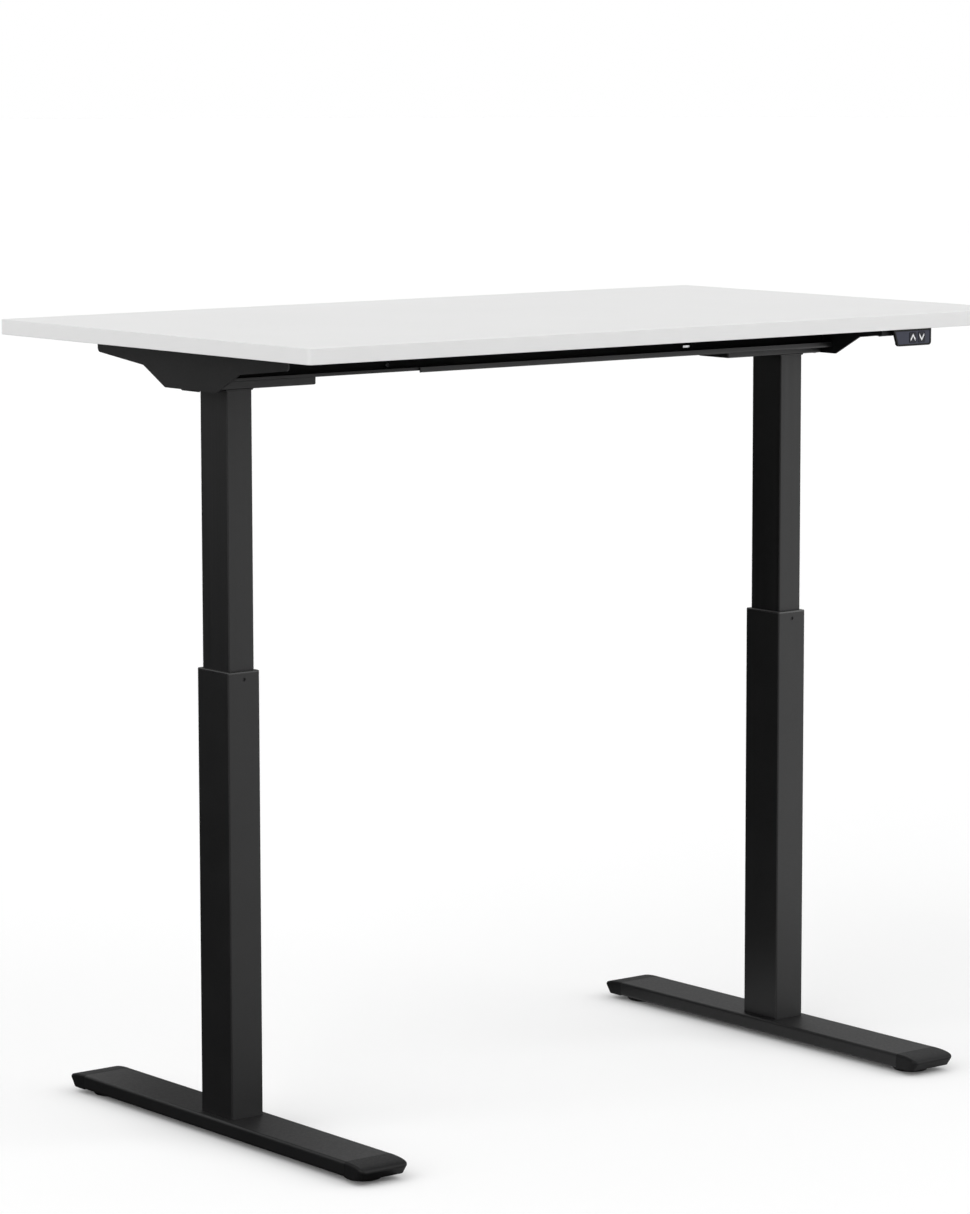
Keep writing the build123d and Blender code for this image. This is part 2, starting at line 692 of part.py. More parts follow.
def side_bracket():
    """Flared arm: an upright plate with a flange that is screwed to the desktop."""
    half_end = BRACKET_LENGTH / 2
    half_shoulder = BRACKET_SHOULDER / 2
    half_flat = BRACKET_FLAT / 2
    lower = [
        (half_end, desk_under - BRACKET_END_DROP),
        (half_shoulder, desk_under - SHOULDER_DROP),
        (half_flat, head_under),
    ]
    right_half = [(bracket_y + y, z) for y, z in lower]
    left_half = [(bracket_y - y, z) for y, z in reversed(lower)]
    right_top = (bracket_y + half_end, desk_under)
    left_top = (bracket_y - half_end, desk_under)
    outline = [right_top] + right_half + left_half + [left_top]
    plate = Pos(plate_face, 0, 0) * extrude(side_profile(outline), SHEET)
    levels = plate.edges().filter_by(Axis.X).group_by(Axis.Z)
    plate = fillet(levels[0] + levels[1] + levels[2], BRACKET_CORNER_RADIUS)
    bracket = plate + slab(plate_face, plate_face + FLANGE_WIDTH, bracket_y - half_end, bracket_y + half_end,
                           head_top, desk_under)
    bend = bracket.edges().filter_by(Axis.Y).group_by(Axis.Z)[-1].sort_by(Axis.X)[0]
    bracket = fillet(bend, SHEET_BEND + SHEET)
    hole_diameter = WOOD_SCREW_DIAMETER + 2 * BOLT_HOLE_CLEARANCE
    for y in flange_screw_ys:
        bracket -= upright(flange_screw_x, y, head_top, desk_under, hole_diameter)
    return bracket


nest = RAIL_WALL + RAIL_NEST_CLEARANCE
rail_back = LEG_Y - HEAD_WIDTH / 2 - RAIL_SIDE_GAP
rail_front = rail_back - RAIL_DEPTH
rail_bottom = head_top - RAIL_HEIGHT
outer_web_front = rail_back - RAIL_WALL
inner_web_front = rail_back - nest - RAIL_WALL


def channel(x0, x1, inset):
    """Lipped channel that opens to the front, drawn in by inset all round its outside."""
    depth = RAIL_DEPTH - 2 * inset
    height = RAIL_HEIGHT - 2 * inset
    section = RectangleRounded(depth, height, RAIL_BEND + RAIL_WALL)
    section -= RectangleRounded(depth - 2 * RAIL_WALL, height - 2 * RAIL_WALL, RAIL_BEND)
    section -= Pos(-depth / 2, 0) * Rectangle(2 * RAIL_WALL, RAIL_HEIGHT - 2 * RAIL_LIP)
    middle = (x0, (rail_front + rail_back) / 2, (rail_bottom + head_top) / 2)
    return extrude(Plane(origin=middle, x_dir=(0, 1, 0), z_dir=(1, 0, 0)) * section, x1 - x0)


inner_rail_start = plate_back
inner_rail_end = inner_rail_start + INNER_RAIL_LENGTH
stop_screw = (OUTER_RAIL_START - STOP_SCREW_REACH, rail_bottom + STOP_SCREW_RISE)
lock_height = (rail_bottom + head_top) / 2
lock_screws = [
    (OUTER_RAIL_START + LOCK_SCREW_INSET, lock_height),
    (inner_rail_end - LOCK_SCREW_INSET, lock_height),
]
rail_hole = RAIL_SCREW_DIAMETER + 2 * SEAT_CLEARANCE


def front_rail_outer():
    """Wider rail, its free end swept back behind the lips, with a slot and screw holes."""
    rail = channel(OUTER_RAIL_START, -plate_back, 0.0)
    sweep = [
        (OUTER_RAIL_START, rail_front + RAIL_WALL),
        (OUTER_RAIL_START + RAIL_END_SWEEP, rail_back),
        (OUTER_RAIL_START, rail_back),
    ]
    corner = make_face(Polyline(*sweep, close=True))
    rail -= extrude(Plane.XY.offset(rail_bottom) * corner, RAIL_HEIGHT)
    slot_z = rail_bottom + RAIL_SLOT_RISE
    rail -= slab(RAIL_SLOT_X - RAIL_SLOT_LENGTH / 2, RAIL_SLOT_X + RAIL_SLOT_LENGTH / 2,
                 outer_web_front, rail_back,
                 slot_z - RAIL_SLOT_HEIGHT / 2, slot_z + RAIL_SLOT_HEIGHT / 2)
    for x, z in lock_screws:
        rail -= across_y(x, z, outer_web_front, rail_back, rail_hole)
    return rail


def front_rail_inner():
    rail = channel(inner_rail_start, inner_rail_end, nest)
    for x, z in lock_screws + [stop_screw]:
        rail -= across_y(x, z, inner_web_front, inner_web_front + RAIL_WALL, rail_hole)
    return rail


def rail_screw(x, z, nut_face):
    """Pan head screw from the front of the inner rail's web, and its nut."""
    head = across_y(x, z, inner_web_front - RAIL_SCREW_HEAD_HEIGHT, inner_web_front, RAIL_SCREW_HEAD)
    nut_end = nut_face + RAIL_NUT_THICKNESS
    screw = head + across_y(x, z, inner_web_front, nut_end, RAIL_SCREW_DIAMETER)
    hexagon = RegularPolygon(RAIL_NUT_FLATS / 2, 6, major_radius=False)
    plane = Plane(origin=(x, nut_face, z), x_dir=(1, 0, 0), z_dir=(0, 1, 0))
    nut = extrude(plane * hexagon, RAIL_NUT_THICKNESS)
    nut -= across_y(x, z, nut_face, nut_end, RAIL_SCREW_DIAMETER + 2 * RUNNING_CLEARANCE)
    return [screw, nut]


def slot_nut():
    """Square nut waiting behind the rail's slot."""
    half = RAIL_SLOT_LENGTH / 2 + SLOT_NUT_MARGIN
    slot_z = rail_bottom + RAIL_SLOT_RISE
    half_height = RAIL_SLOT_HEIGHT / 2 + SLOT_NUT_MARGIN
    return slab(RAIL_SLOT_X - half, RAIL_SLOT_X + half, rail_back, rail_back + SLOT_NUT_THICKNESS,
                slot_z - half_height, slot_z + half_height)


def front_rail_fasteners():
    fasteners = [slot_nut()]
    fasteners += rail_screw(*stop_screw, inner_web_front + RAIL_WALL)
    for x, z in lock_screws:
        fasteners += rail_screw(x, z, rail_back)
    return fasteners


add_pair("head_box", head_box())
add_pair("side_bracket", side_bracket())
for rail_name, rail_solid in (("inner", front_rail_inner()), ("outer", front_rail_outer())):
    pieces["front_rail_" + rail_name] = rail_solid
    pieces["rear_rail_" + rail_name] = rear(rail_solid)
front_fasteners = front_rail_fasteners()
pieces["rail_screws"] = Compound(front_fasteners + [rear(solid) for solid in front_fasteners])


# Control box

control_bottom = desk_under - CONTROL_HEIGHT
control_rim = desk_under - CONTROL_LID
control_half_x = CONTROL_LENGTH / 2
control_half_y = CONTROL_WIDTH / 2
control_board_bottom = control_bottom + CONTROL_WALL + CONTROL_BOARD_RISE
control_screw_x = control_half_x + CONTROL_EAR / 2


def control_post_places():
    reach_x = control_half_x - CONTROL_POST_INSET
    reach_y = control_half_y - CONTROL_POST_INSET
    return [(a * reach_x, LEG_Y + b * reach_y) for a in (-1, 1) for b in (-1, 1)]


def control_box():
    """Electronics case, open to its lid, with sockets in its ends."""
    y0 = LEG_Y - control_half_y
    y1 = LEG_Y + control_half_y
    wall = CONTROL_WALL
    case = slab(-control_half_x, control_half_x, y0, y1, control_bottom, control_rim)
    case -= slab(-control_half_x + wall, control_half_x - wall, y0 + wall, y1 - wall,
                 control_bottom + wall, control_rim)
    for x, y in control_post_places():
        case += upright(x, y, control_bottom + wall, control_board_bottom, CONTROL_POST_DIAMETER)
    socket_z = (control_board_bottom + control_rim) / 2
    for index in range(SOCKET_COUNT):
        y = LEG_Y + (index - (SOCKET_COUNT - 1) / 2) * SOCKET_PITCH
        case -= slab(-control_half_x, -control_half_x + wall, y - SOCKET_WIDTH / 2, y + SOCKET_WIDTH / 2,
                     socket_z - SOCKET_HEIGHT / 2, socket_z + SOCKET_HEIGHT / 2)
    case -= slab(control_half_x - wall, control_half_x, LEG_Y - INLET_WIDTH / 2, LEG_Y + INLET_WIDTH / 2,
                 socket_z - INLET_HEIGHT / 2, socket_z + INLET_HEIGHT / 2)
    return case


def control_lid():
    reach = control_half_x + CONTROL_EAR
    lid = slab(-reach, reach, LEG_Y - control_half_y, LEG_Y + control_half_y, control_rim, desk_under)
    for side in (-1, 1):
        hole = WOOD_SCREW_DIAMETER + 2 * BOLT_HOLE_CLEARANCE
        lid -= upright(side * control_screw_x, LEG_Y, control_rim, desk_under, hole)
    return lid


def control_board():
    margin = CONTROL_WALL + BOARD_MARGIN
    return slab(-control_half_x + margin, control_half_x - margin,
                LEG_Y - control_half_y + margin, LEG_Y + control_half_y - margin,
                control_board_bottom, control_board_bottom + CONTROL_BOARD_THICKNESS)


pieces["control_box"] = control_box()
pieces["control_lid"] = control_lid()
pieces["control_board"] = control_board()


# Keypad

keypad_right = TOP_WIDTH / 2 - KEYPAD_INSET
keypad_left = keypad_right - KEYPAD_WIDTH
keypad_x = (keypad_left + keypad_right) / 2
keypad_bottom = desk_under - KEYPAD_HEIGHT
bezel_back = desk_front + KEYPAD_BEZEL
body_right = keypad_right - KEYPAD_BODY_INSET
body_left = body_right - KEYPAD_BODY_WIDTH
body_x = (body_left + body_right) / 2
keypad_back = desk_front + KEYPAD_DEPTH
panel_front = desk_front + PANEL_SINK
panel_back = panel_front + PANEL_THICKNESS
button_z = keypad_bottom + KEYPAD_HEIGHT / 2
flange_back = panel_back + SEAT_CLEARANCE + BUTTON_FLANGE
switch_face = flange_back + BUTTON_TRAVEL + BUTTON_PLAY
board_face = switch_face + SWITCH_HEIGHT
board_back = board_face + BOARD_THICKNESS
keypad_rear_wall = keypad_back - KEYPAD_WALL
button_xs = {
    "keypad_up_button": body_x + BUTTON_X - BUTTON_PITCH / 2,
    "keypad_down_button": body_x + BUTTON_X + BUTTON_PITCH / 2,
}


def keypad_block(shrink, y0, y1):
    """Keypad outline with a slanting left side, drawn in by shrink, between two depths."""
    lean = KEYPAD_SLANT / KEYPAD_HEIGHT
    side_shift = shrink * math.hypot(1.0, lean)
    top = desk_under - shrink
    bottom = keypad_bottom + shrink
    corners = [
        (keypad_left + side_shift + lean * shrink, top),
        (keypad_right - shrink, top),
        (keypad_right - shrink, bottom),
        (keypad_left + side_shift + KEYPAD_SLANT - lean * shrink, bottom),
    ]
    plane = Plane(origin=(0, y1, 0), x_dir=(1, 0, 0), z_dir=(0, -1, 0))
    block = extrude(plane * make_face(Polyline(*corners, close=True)), y1 - y0)
    return fillet(block.edges().filter_by(Axis.Y).group_by(Axis.Z)[0], KEYPAD_RADIUS - shrink)


def body_block(shrink, y0, y1):
    """Block of the body behind the bezel, drawn in by shrink at its sides, between two depths."""
    return slab(body_left + shrink, body_right - shrink, y0, y1,
                keypad_bottom + KEYPAD_BODY_RISE + shrink, desk_under - shrink)


def keypad_post_places():
    return [(body_x + side * KEYPAD_POST_SPAN / 2, button_z) for side in (-1, 1)]


def keypad_screw_places():
    y = desk_front + KEYPAD_SCREW_INSET
    return [(keypad_x + side * KEYPAD_SCREW_SPAN / 2, y) for side in (-1, 1)]


def keypad_housing():
    """Moulded bezel round the panel, with a body and a fixing plate behind it."""
    case = keypad_block(0.0, desk_front, bezel_back) + body_block(0.0, bezel_back, keypad_back)
    plate_left = keypad_x + KEYPAD_PLATE_SHIFT - KEYPAD_PLATE_WIDTH / 2
    plate_front = desk_front + KEYPAD_PLATE_INSET
    case += slab(plate_left, plate_left + KEYPAD_PLATE_WIDTH,
                 plate_front, plate_front + KEYPAD_PLATE_DEPTH,
                 desk_under - KEYPAD_PLATE_HEIGHT, desk_under)
    case -= keypad_block(KEYPAD_RIM, desk_front, panel_back)
    case -= body_block(KEYPAD_WALL, panel_back, keypad_rear_wall)
    for x, z in keypad_post_places():
        case += across_y(x, z, board_back, keypad_rear_wall, KEYPAD_POST_DIAMETER)
    for x, y in keypad_screw_places():
        hole = WOOD_SCREW_DIAMETER + 2 * BOLT_HOLE_CLEARANCE
        case -= upright(x, y, desk_under - KEYPAD_PLATE_HEIGHT, desk_under, hole)
    return case


def button_block(x, y0, y1, grow):
    """Rounded button section between two depths, grown by grow all round."""
    section = RectangleRounded(BUTTON_WIDTH + 2 * grow, BUTTON_HEIGHT + 2 * grow, BUTTON_RADIUS)
    plane = Plane(origin=(x, y1, button_z), x_dir=(1, 0, 0), z_dir=(0, -1, 0))
    return extrude(plane * section, y1 - y0)


def keypad_panel():
    panel = keypad_block(KEYPAD_RIM + PANEL_CLEARANCE, panel_front, panel_back)
    for x in button_xs.values():
        panel -= button_block(x, panel_front, panel_back, PANEL_CLEARANCE)
    return panel


def keypad_button(x):
    """Button cap with a flange that holds it behind the panel."""
    cap_back = panel_back + SEAT_CLEARANCE
    button = button_block(x, desk_front, cap_back, 0.0)
    return button + button_block(x, cap_back, flange_back, BUTTON_FLANGE / 2)


def keypad_board():
    """Circuit board with one switch behind each button."""
    board = body_block(KEYPAD_WALL + BOARD_MARGIN, board_face, board_back)
    half = SWITCH_SIZE / 2
    for x in button_xs.values():
        board += slab(x - half, x + half, switch_face, board_face, button_z - half, button_z + half)
    return board


pieces["keypad_housing"] = keypad_housing()
pieces["keypad_panel"] = keypad_panel()
pieces["keypad_board"] = keypad_board()
for button_name, button_x in button_xs.items():
    pieces[button_name] = keypad_button(button_x)


# Desktop

bracket_screws = [(side * flange_screw_x, y, head_top) for side in (-1, 1) for y in flange_screw_ys]
control_screws = [(side * control_screw_x, LEG_Y, control_rim) for side in (-1, 1)]
keypad_screws = [(x, y, desk_under - KEYPAD_PLATE_HEIGHT) for x, y in keypad_screw_places()]
wood_screws = bracket_screws + control_screws + keypad_screws


def desktop():
    """Board with pilot holes for its screws."""
    core = prism(0, 0, desk_under, DESK_HEIGHT, TOP_WIDTH - 2 * BAND_THICKNESS,
                 TOP_DEPTH - 2 * BAND_THICKNESS, TOP_CORNER_RADIUS - BAND_THICKNESS)
    pilot_top = desk_under + WOOD_SCREW_BITE + END_PLAY
    for x, y, _ in wood_screws:
        core -= upright(x, y, desk_under, pilot_top, WOOD_SCREW_DIAMETER + 2 * RUNNING_CLEARANCE)
    return core


def edge_band():
    """Thin band glued round the board."""
    band = prism(0, 0, desk_under, DESK_HEIGHT, TOP_WIDTH, TOP_DEPTH, TOP_CORNER_RADIUS)
    rims = band.faces().sort_by(Axis.Z)
    band = chamfer(rims[0].edges() + rims[-1].edges(), BAND_CHAMFER)
    return band - prism(0, 0, desk_under, DESK_HEIGHT, TOP_WIDTH - 2 * BAND_THICKNESS,
                        TOP_DEPTH - 2 * BAND_THICKNESS, TOP_CORNER_RADIUS - BAND_THICKNESS)


def wood_screw(x, y, seat):
    head = upright(x, y, seat - WOOD_SCREW_HEAD_HEIGHT, seat, WOOD_SCREW_HEAD)
    return head + upright(x, y, seat, desk_under + WOOD_SCREW_BITE, WOOD_SCREW_DIAMETER)


pieces["desktop"] = desktop()
pieces["edge_band"] = edge_band()
pieces["desktop_screws"] = Compound([wood_screw(*place) for place in wood_screws])


os.makedirs("parts", exist_ok=True)
for piece_name, piece in pieces.items():
    export_step(piece, os.path.join("parts", piece_name + ".step"))
print(len(pieces), "pieces")
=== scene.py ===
import json
import math

import bmesh
import bpy
from mathutils import Euler, Matrix, Vector


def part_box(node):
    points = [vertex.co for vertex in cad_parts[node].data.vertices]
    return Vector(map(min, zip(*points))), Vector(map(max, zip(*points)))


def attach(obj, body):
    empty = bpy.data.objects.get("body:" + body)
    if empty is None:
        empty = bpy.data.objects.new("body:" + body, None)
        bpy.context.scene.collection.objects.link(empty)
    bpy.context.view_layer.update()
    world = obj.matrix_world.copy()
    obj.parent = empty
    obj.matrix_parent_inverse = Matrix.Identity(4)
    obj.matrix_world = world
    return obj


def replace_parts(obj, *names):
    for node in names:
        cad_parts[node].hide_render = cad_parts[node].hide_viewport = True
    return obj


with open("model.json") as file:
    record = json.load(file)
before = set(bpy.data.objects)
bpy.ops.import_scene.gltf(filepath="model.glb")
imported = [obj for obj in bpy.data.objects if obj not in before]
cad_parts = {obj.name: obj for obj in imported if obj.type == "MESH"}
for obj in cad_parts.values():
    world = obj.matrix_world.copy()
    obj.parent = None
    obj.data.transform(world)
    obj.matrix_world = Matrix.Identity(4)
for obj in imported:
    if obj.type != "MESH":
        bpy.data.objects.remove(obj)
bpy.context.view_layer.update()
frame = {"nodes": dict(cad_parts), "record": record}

bl_info = {
    "name": "Standing Desk Finisher",
    "version": (1, 0, 0),
    "blender": (4, 5, 0),
    "location": "View3D > Sidebar > Desk",
    "description": "Gives a height adjustable desk its finishes, small hardware and studio",
    "category": "Object",
}

SIDES = ("left", "right")
ENDS = ("front", "rear")
UP = Vector((0.0, 0.0, 1.0))
DOWN = Vector((0.0, 0.0, -1.0))
FORWARD = Vector((0.0, -1.0, 0.0))

# Distance at which points merge, in metres, the bend that still counts as flat, and the least sharp bend
MERGE = 1e-5
STRAIGHT = math.radians(1.0)
CREASE = math.radians(32.0)

# Height of the head and radius of the shank, in metres
WOOD_SCREW = (0.0025, 0.0020)
RAIL_SCREW = (0.0025, 0.0025)
FOOT_BOLT = (0.0050, 0.0030)
SET_SCREW = (0.0012, 0.0024)

# Outlines of screw heads from the flat at the top, as shares of their radius and height
PAN_HEAD = ((0.62, 1.00), (0.82, 0.88), (0.95, 0.60), (1.00, 0.25), (1.00, 0.00))
CAP_HEAD = ((0.86, 1.00), (0.96, 0.96), (1.00, 0.88), (1.00, 0.00))
HEAD_STEPS = 24

# Driver's recess as shares of a head: its reach on the flat, its floor, its depth and a cross's arm
RECESS_REACH = 0.85
RECESS_TAPER = 0.8
RECESS_DEPTH = 0.55
CROSS_ARM = 0.28

# Sizes that tell the rails' nuts from their screws, and a slot nut's rounding, in metres
NUT_DEPTH = 0.0035
SLOT_NUT_WIDTH = 0.0120
SLOT_NUT_EDGE = 0.0004

# Share of a nut's box that the nut fills in depth, and of its radius that its chamfer takes
NUT_FILL = 0.9
NUT_CHAMFER = 0.1

# Outline of a leveller's pad, as insets from its rim and heights over the floor, the sole and the top
PAD_SOLE = ((0.0030, 0.0), (0.0022, 0.0004))
PAD_RIM = ((0.0020, 0.0), (0.0008, 0.0002), (0.0, 0.0010))
PAD_CROWN = ((0.0, -0.0016), (0.0005, -0.0006), (0.0018, 0.0))
PAD_STEPS = 96
PAD_FLUTES = 24

# Swing of a weld's ripples, and the share of a head box that its weld leaves bare at each end
WELD_RIPPLE = 0.10
WELD_MARGIN = 0.2

# Share of a rail's depth over which its coat turns dull and less reflective: painted shade of the
# channels
PAINTED_SHADE_REACH = 0.9

# Sockets in the control box: rim, places of the pins from the middle and their size, in metres
CABLE_RIM = 0.0008
CABLE_PINS = [(y, z) for y in (-0.0020, 0.0020) for z in (-0.0013, 0.0013)]
CABLE_PIN = (0.0007, 0.0007)
MAINS_RIM = 0.0024
MAINS_PINS = [(-0.0070, -0.0020), (0.0, 0.0020), (0.0070, -0.0020)]
MAINS_PIN = (0.0020, 0.0040)

# Shares of a socket's rim for its inset, of its depth for the pins and of a pin for its rounding
SOCKET_INSET = 1.4
PIN_LENGTH = 0.7
PIN_EDGE = 0.2

# Heading from the front towards the right, height and spread of each light, in degrees
KEY_AIM = (38.0, 22.0, 60.0)
FILL_AIM = (-80.0, 30.0, 60.0)
TOP_AIM = (0.0, 85.0, 90.0)

# Height of a card's fold over its place and reach of the camera's view, in metres
CARD_LIFT = 0.001
VIEW_REACH = 200.0

# Width of the camera's sensor, in millimetres
SENSOR_WIDTH = 36.0


def pair(name):
    """Names of a piece on the left and on the right leg."""
    return [side + "_" + name for side in SIDES]


def corners(name):
    """Names of a piece at the four ends of the feet."""
    return [side + "_" + end + "_" + name for side in SIDES for end in ENDS]


# Settings

def colour(label, words, value):
    """Colour that a user can change."""
    return bpy.props.FloatVectorProperty(
        name=label, description=words, subtype="COLOR", size=3, min=0.0, max=1.0, default=value
    )


def size(label, words, value):
    """Length in metres that a user can change."""
    return bpy.props.FloatProperty(
        name=label, description=words, unit="LENGTH", precision=5, default=value
    )


def position(label, words, value):
    """Point in metres that a user can change."""
    return bpy.props.FloatVectorProperty(
        name=label, description=words, subtype="TRANSLATION", unit="LENGTH", default=value
    )


def share(label, words, value, top=1.0):
    """Plain number that a user can change."""
    return bpy.props.FloatProperty(name=label, description=words, min=0.0, max=top, default=value)


def angle(label, words, degrees):
    """Angle that a user can change."""
    return bpy.props.FloatProperty(
        name=label, description=words, subtype="ANGLE", default=math.radians(degrees)
    )


class DeskFinishes(bpy.types.PropertyGroup):
    """Colours of the desk's finishes."""

    steel: colour("Powder coat", "Satin black coat on the steel frame", (0.0055, 0.0055, 0.0057))
    plastic: colour("Moulded plastic", "Caps, collars, keypad and control box", (0.0060, 0.0060, 0.0063))
    rubber: colour("Rubber", "Soles of the levellers", (0.0090, 0.0090, 0.0090))
    board: colour("Board", "White facing of the desktop", (0.770, 0.770, 0.768))
    band: colour("Edge band", "White band round the desktop", (0.740, 0.740, 0.738))
    panel: colour("Keypad panel", "Glossy slate panel of the keypad", (0.028, 0.031, 0.052))
    button: colour("Buttons", "Glossy caps of the keypad's buttons", (0.010, 0.011, 0.018))
    mark: colour("Arrow marks", "Arrows printed on the buttons", (0.780, 0.790, 0.800))
    zinc: colour("Zinc plating", "Screws, nuts and studs", (0.600, 0.605, 0.615))
    ground_steel: colour("Ground steel", "Spindles, gears and hidden tubes", (0.440, 0.440, 0.450))
    can: colour("Motor can", "Plated steel of the motors", (0.300, 0.300, 0.310))
    alloy: colour("Cast alloy", "Housings of the gearboxes", (0.520, 0.530, 0.540))
    glide: colour("Slide plastic", "Slide shoes and drive nuts", (0.620, 0.610, 0.570))
    solder_mask: colour("Circuit board", "Lacquer of the circuit boards", (0.012, 0.090, 0.035))


class DeskDetails(bpy.types.PropertyGroup):
    """Sizes of the fine details."""

    steel_edge: size("Steel edges", "Rounding of cut steel edges under the coat", 0.0004)
    plastic_edge: size("Plastic edges", "Rounding of moulded edges", 0.0005)
    keypad_edge: size("Keypad edges", "Rounding on the keypad's rim, panel and buttons", 0.0003)
    arrow_width: size("Arrow width", "Width of each arrow mark", 0.0086)
    arrow_height: size("Arrow height", "Height of each arrow mark", 0.0102)
    arrow_stroke: size("Arrow stroke", "Upright thickness of an arrow's two strokes", 0.0034)
    print_depth: size("Print depth", "Height of the printed arrows above a button", 0.00006)
    weld_radius: size("Weld radius", "Half the width of a weld bead", 0.0017)
    weld_step: size("Weld step", "Distance between the ripples of a weld bead", 0.0018)
    pad_height: size("Pad height", "Height of a leveller's pad", 0.0070)
    sole_depth: size("Sole depth", "Depth of the rubber under a pad", 0.0020)
    grip_depth: size("Grip depth", "Depth of the flutes round a pad", 0.0007)
    stud_radius: size("Stud radius", "Half the width of a leveller's stud", 0.0040)
    thread_pitch: size("Thread pitch", "Distance between the stud's threads", 0.00125)
    thread_depth: size("Thread depth", "Depth of the stud's threads", 0.0006)
    socket_lip: size("Socket lip", "Thickness of a socket's lip on the control box", 0.0008)
    socket_depth: size("Socket depth", "Depth of the control box's sockets", 0.0110)


class DeskStudio(bpy.types.PropertyGroup):
    """Camera, light and floor."""

    camera_place: position("Camera place", "Where the camera stands", (-3.7821, -4.7416, 1.4574))
    camera_heading: angle("Camera heading", "How far the camera looks to the right", 38.163)
    camera_tilt: angle("Camera tilt", "How far the camera looks down", 7.486)
    camera_roll: angle("Camera roll", "How far the camera leans to its left", -0.093)
    lens: share("Lens", "Focal length in millimetres", 133.2, 500.0)
    floor_radius: size("Floor radius", "Radius of the studio floor", 60.0)
    floor: colour("Floor", "Pale studio floor", (0.48, 0.48, 0.48))
    floor_glow: share("Floor glow", "White in the floor besides the light on it", 0.53)
    # The two contact settings shape the painted shade in the floor's glow beside the feet
    contact_reach: size("Contact reach", "How far the shade beside the feet spreads on the floor", 0.13)
    contact_depth: share("Contact depth", "How quickly the floor darkens towards the feet", 0.75, 8.0)
    ambient: share("Ambient", "Even light from all round", 0.16, 3.0)
    key: share("Key light", "Soft light from the front right", 1.8, 20.0)
    fill: share("Fill light", "Soft light from the left", 2.25, 20.0)
    top: share("Top light", "Soft light from overhead", 0.85, 20.0)
    card_width: size("Card width", "Width of the black card and the grey card", 4.5)
    black_place: position("Black card place", "Where the black card's fold lies", (-1.7, 2.0, 0.0))
    black_height: size("Black card height", "Height of the black card's standing half", 0.8)
    black_depth: size("Black card depth", "Depth of the black card's half on the floor", 2.6)
    near_place: position("Near card place", "Where the near black card hangs", (0.01, 0.83, 0.25))
    near_height: size("Near card height", "Height of the black card near the right leg", 0.75)
    near_width: size("Near card width", "Width of the black card near the right leg", 1.1)
    white_place: position("White card place", "Where the white card's fold lies", (2.03, -1.57, 0.0))
    white_height: size("White card height", "Height of the white card's standing half", 0.9)
    white_depth: size("White card depth", "Depth of the white card's half on the floor", 1.6)
    white_width: size("White card width", "Width of the white card", 1.6)
    white_shade: share("White card shade", "How bright the white card looks in reflections", 2.3, 5.0)
    grey_place: position("Grey card place", "Where the grey card stands", (1.85, 2.4, 0.0))
    grey_height: size("Grey card height", "Height of the grey card", 1.1)
    grey_shade: share("Grey card shade", "How bright the grey card looks in reflections", 0.30)


# Finishes, with texture scales in features to the metre and bump distances in metres

def worked_out(tree, operation, *terms):
    """Result of a sum on sockets and plain numbers."""
    node = tree.nodes.new("ShaderNodeMath")
    node.operation = operation
    for socket, term in zip(node.inputs, terms):
        if isinstance(term, bpy.types.NodeSocket):
            tree.links.new(term, socket)
        else:
            socket.default_value = term
    return node.outputs["Value"]


class Finish:
    """Material with short ways to add texture on object coordinates."""

    def __init__(self, name, sockets):
        self.material = bpy.data.materials.new(name)
        self.material.use_nodes = True
        self.tree = self.material.node_tree
        self.shader = self.tree.nodes["Principled BSDF"]
        self.coords = self.add("ShaderNodeTexCoord").outputs["Object"]
        for socket, value in sockets.items():
            self.shader.inputs[socket].default_value = value

    def add(self, kind):
        return self.tree.nodes.new(kind)

    def join(self, source, target):
        self.tree.links.new(source, target)

    def stretched(self, stretch):
        """Object coordinates scaled along each axis."""
        mapping = self.add("ShaderNodeMapping")
        mapping.inputs["Scale"].default_value = stretch
        self.join(self.coords, mapping.inputs["Vector"])
        return mapping.outputs["Vector"]

    def noise(self, scale, detail=3.0, stretch=None):
        """Cloudy texture with about scale features to the metre."""
        node = self.add("ShaderNodeTexNoise")
        node.inputs["Scale"].default_value = scale
        node.inputs["Detail"].default_value = detail
        self.join(self.stretched(stretch) if stretch else self.coords, node.inputs["Vector"])
        return node.outputs["Fac"]

    def cells(self, scale):
        """Grain of small rounded cells."""
        node = self.add("ShaderNodeTexVoronoi")
        node.inputs["Scale"].default_value = scale
        self.join(self.coords, node.inputs["Vector"])
        return node.outputs["Distance"]

    def spread(self, value, low, high, start=0.3, stop=0.7):
        """Map a texture onto a range of numbers."""
        node = self.add("ShaderNodeMapRange")
        node.inputs["From Min"].default_value = start
        node.inputs["From Max"].default_value = stop
        node.inputs["To Min"].default_value = low
        node.inputs["To Max"].default_value = high
        self.join(value, node.inputs["Value"])
        return node.outputs["Result"]

    def mixed(self, value, first, second):
        """Colour between two colours."""
        node = self.add("ShaderNodeMix")
        node.data_type = "RGBA"
        node.inputs["A"].default_value = (*first, 1.0)
        node.inputs["B"].default_value = (*second, 1.0)
        self.join(value, node.inputs["Factor"])
        return node.outputs["Result"]

    def paint(self, value, tint, variation):
        """Base colour that wanders a little round a tint."""
        dark = [channel * (1.0 - variation) for channel in tint]
        pale = [min(1.0, channel * (1.0 + variation)) for channel in tint]
        self.join(self.mixed(self.spread(value, 0.0, 1.0), dark, pale), self.shader.inputs["Base Color"])

    def roughen(self, value, low, high):
        self.join(self.spread(value, low, high), self.shader.inputs["Roughness"])

    def bump(self, height, distance, strength):
        node = self.add("ShaderNodeBump")
        node.inputs["Distance"].default_value = distance
        node.inputs["Strength"].default_value = strength
        self.join(height, node.inputs["Height"])
        self.join(node.outputs["Normal"], self.shader.inputs["Normal"])


def rail_depths():
    """Places of the rails' outermost lips along Y, and how deep their webs lie behind them."""
    front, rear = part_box("front_rail_outer"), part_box("rear_rail_outer")
    return (front[0].y, rear[1].y), PAINTED_SHADE_REACH * (front[1].y - front[0].y)


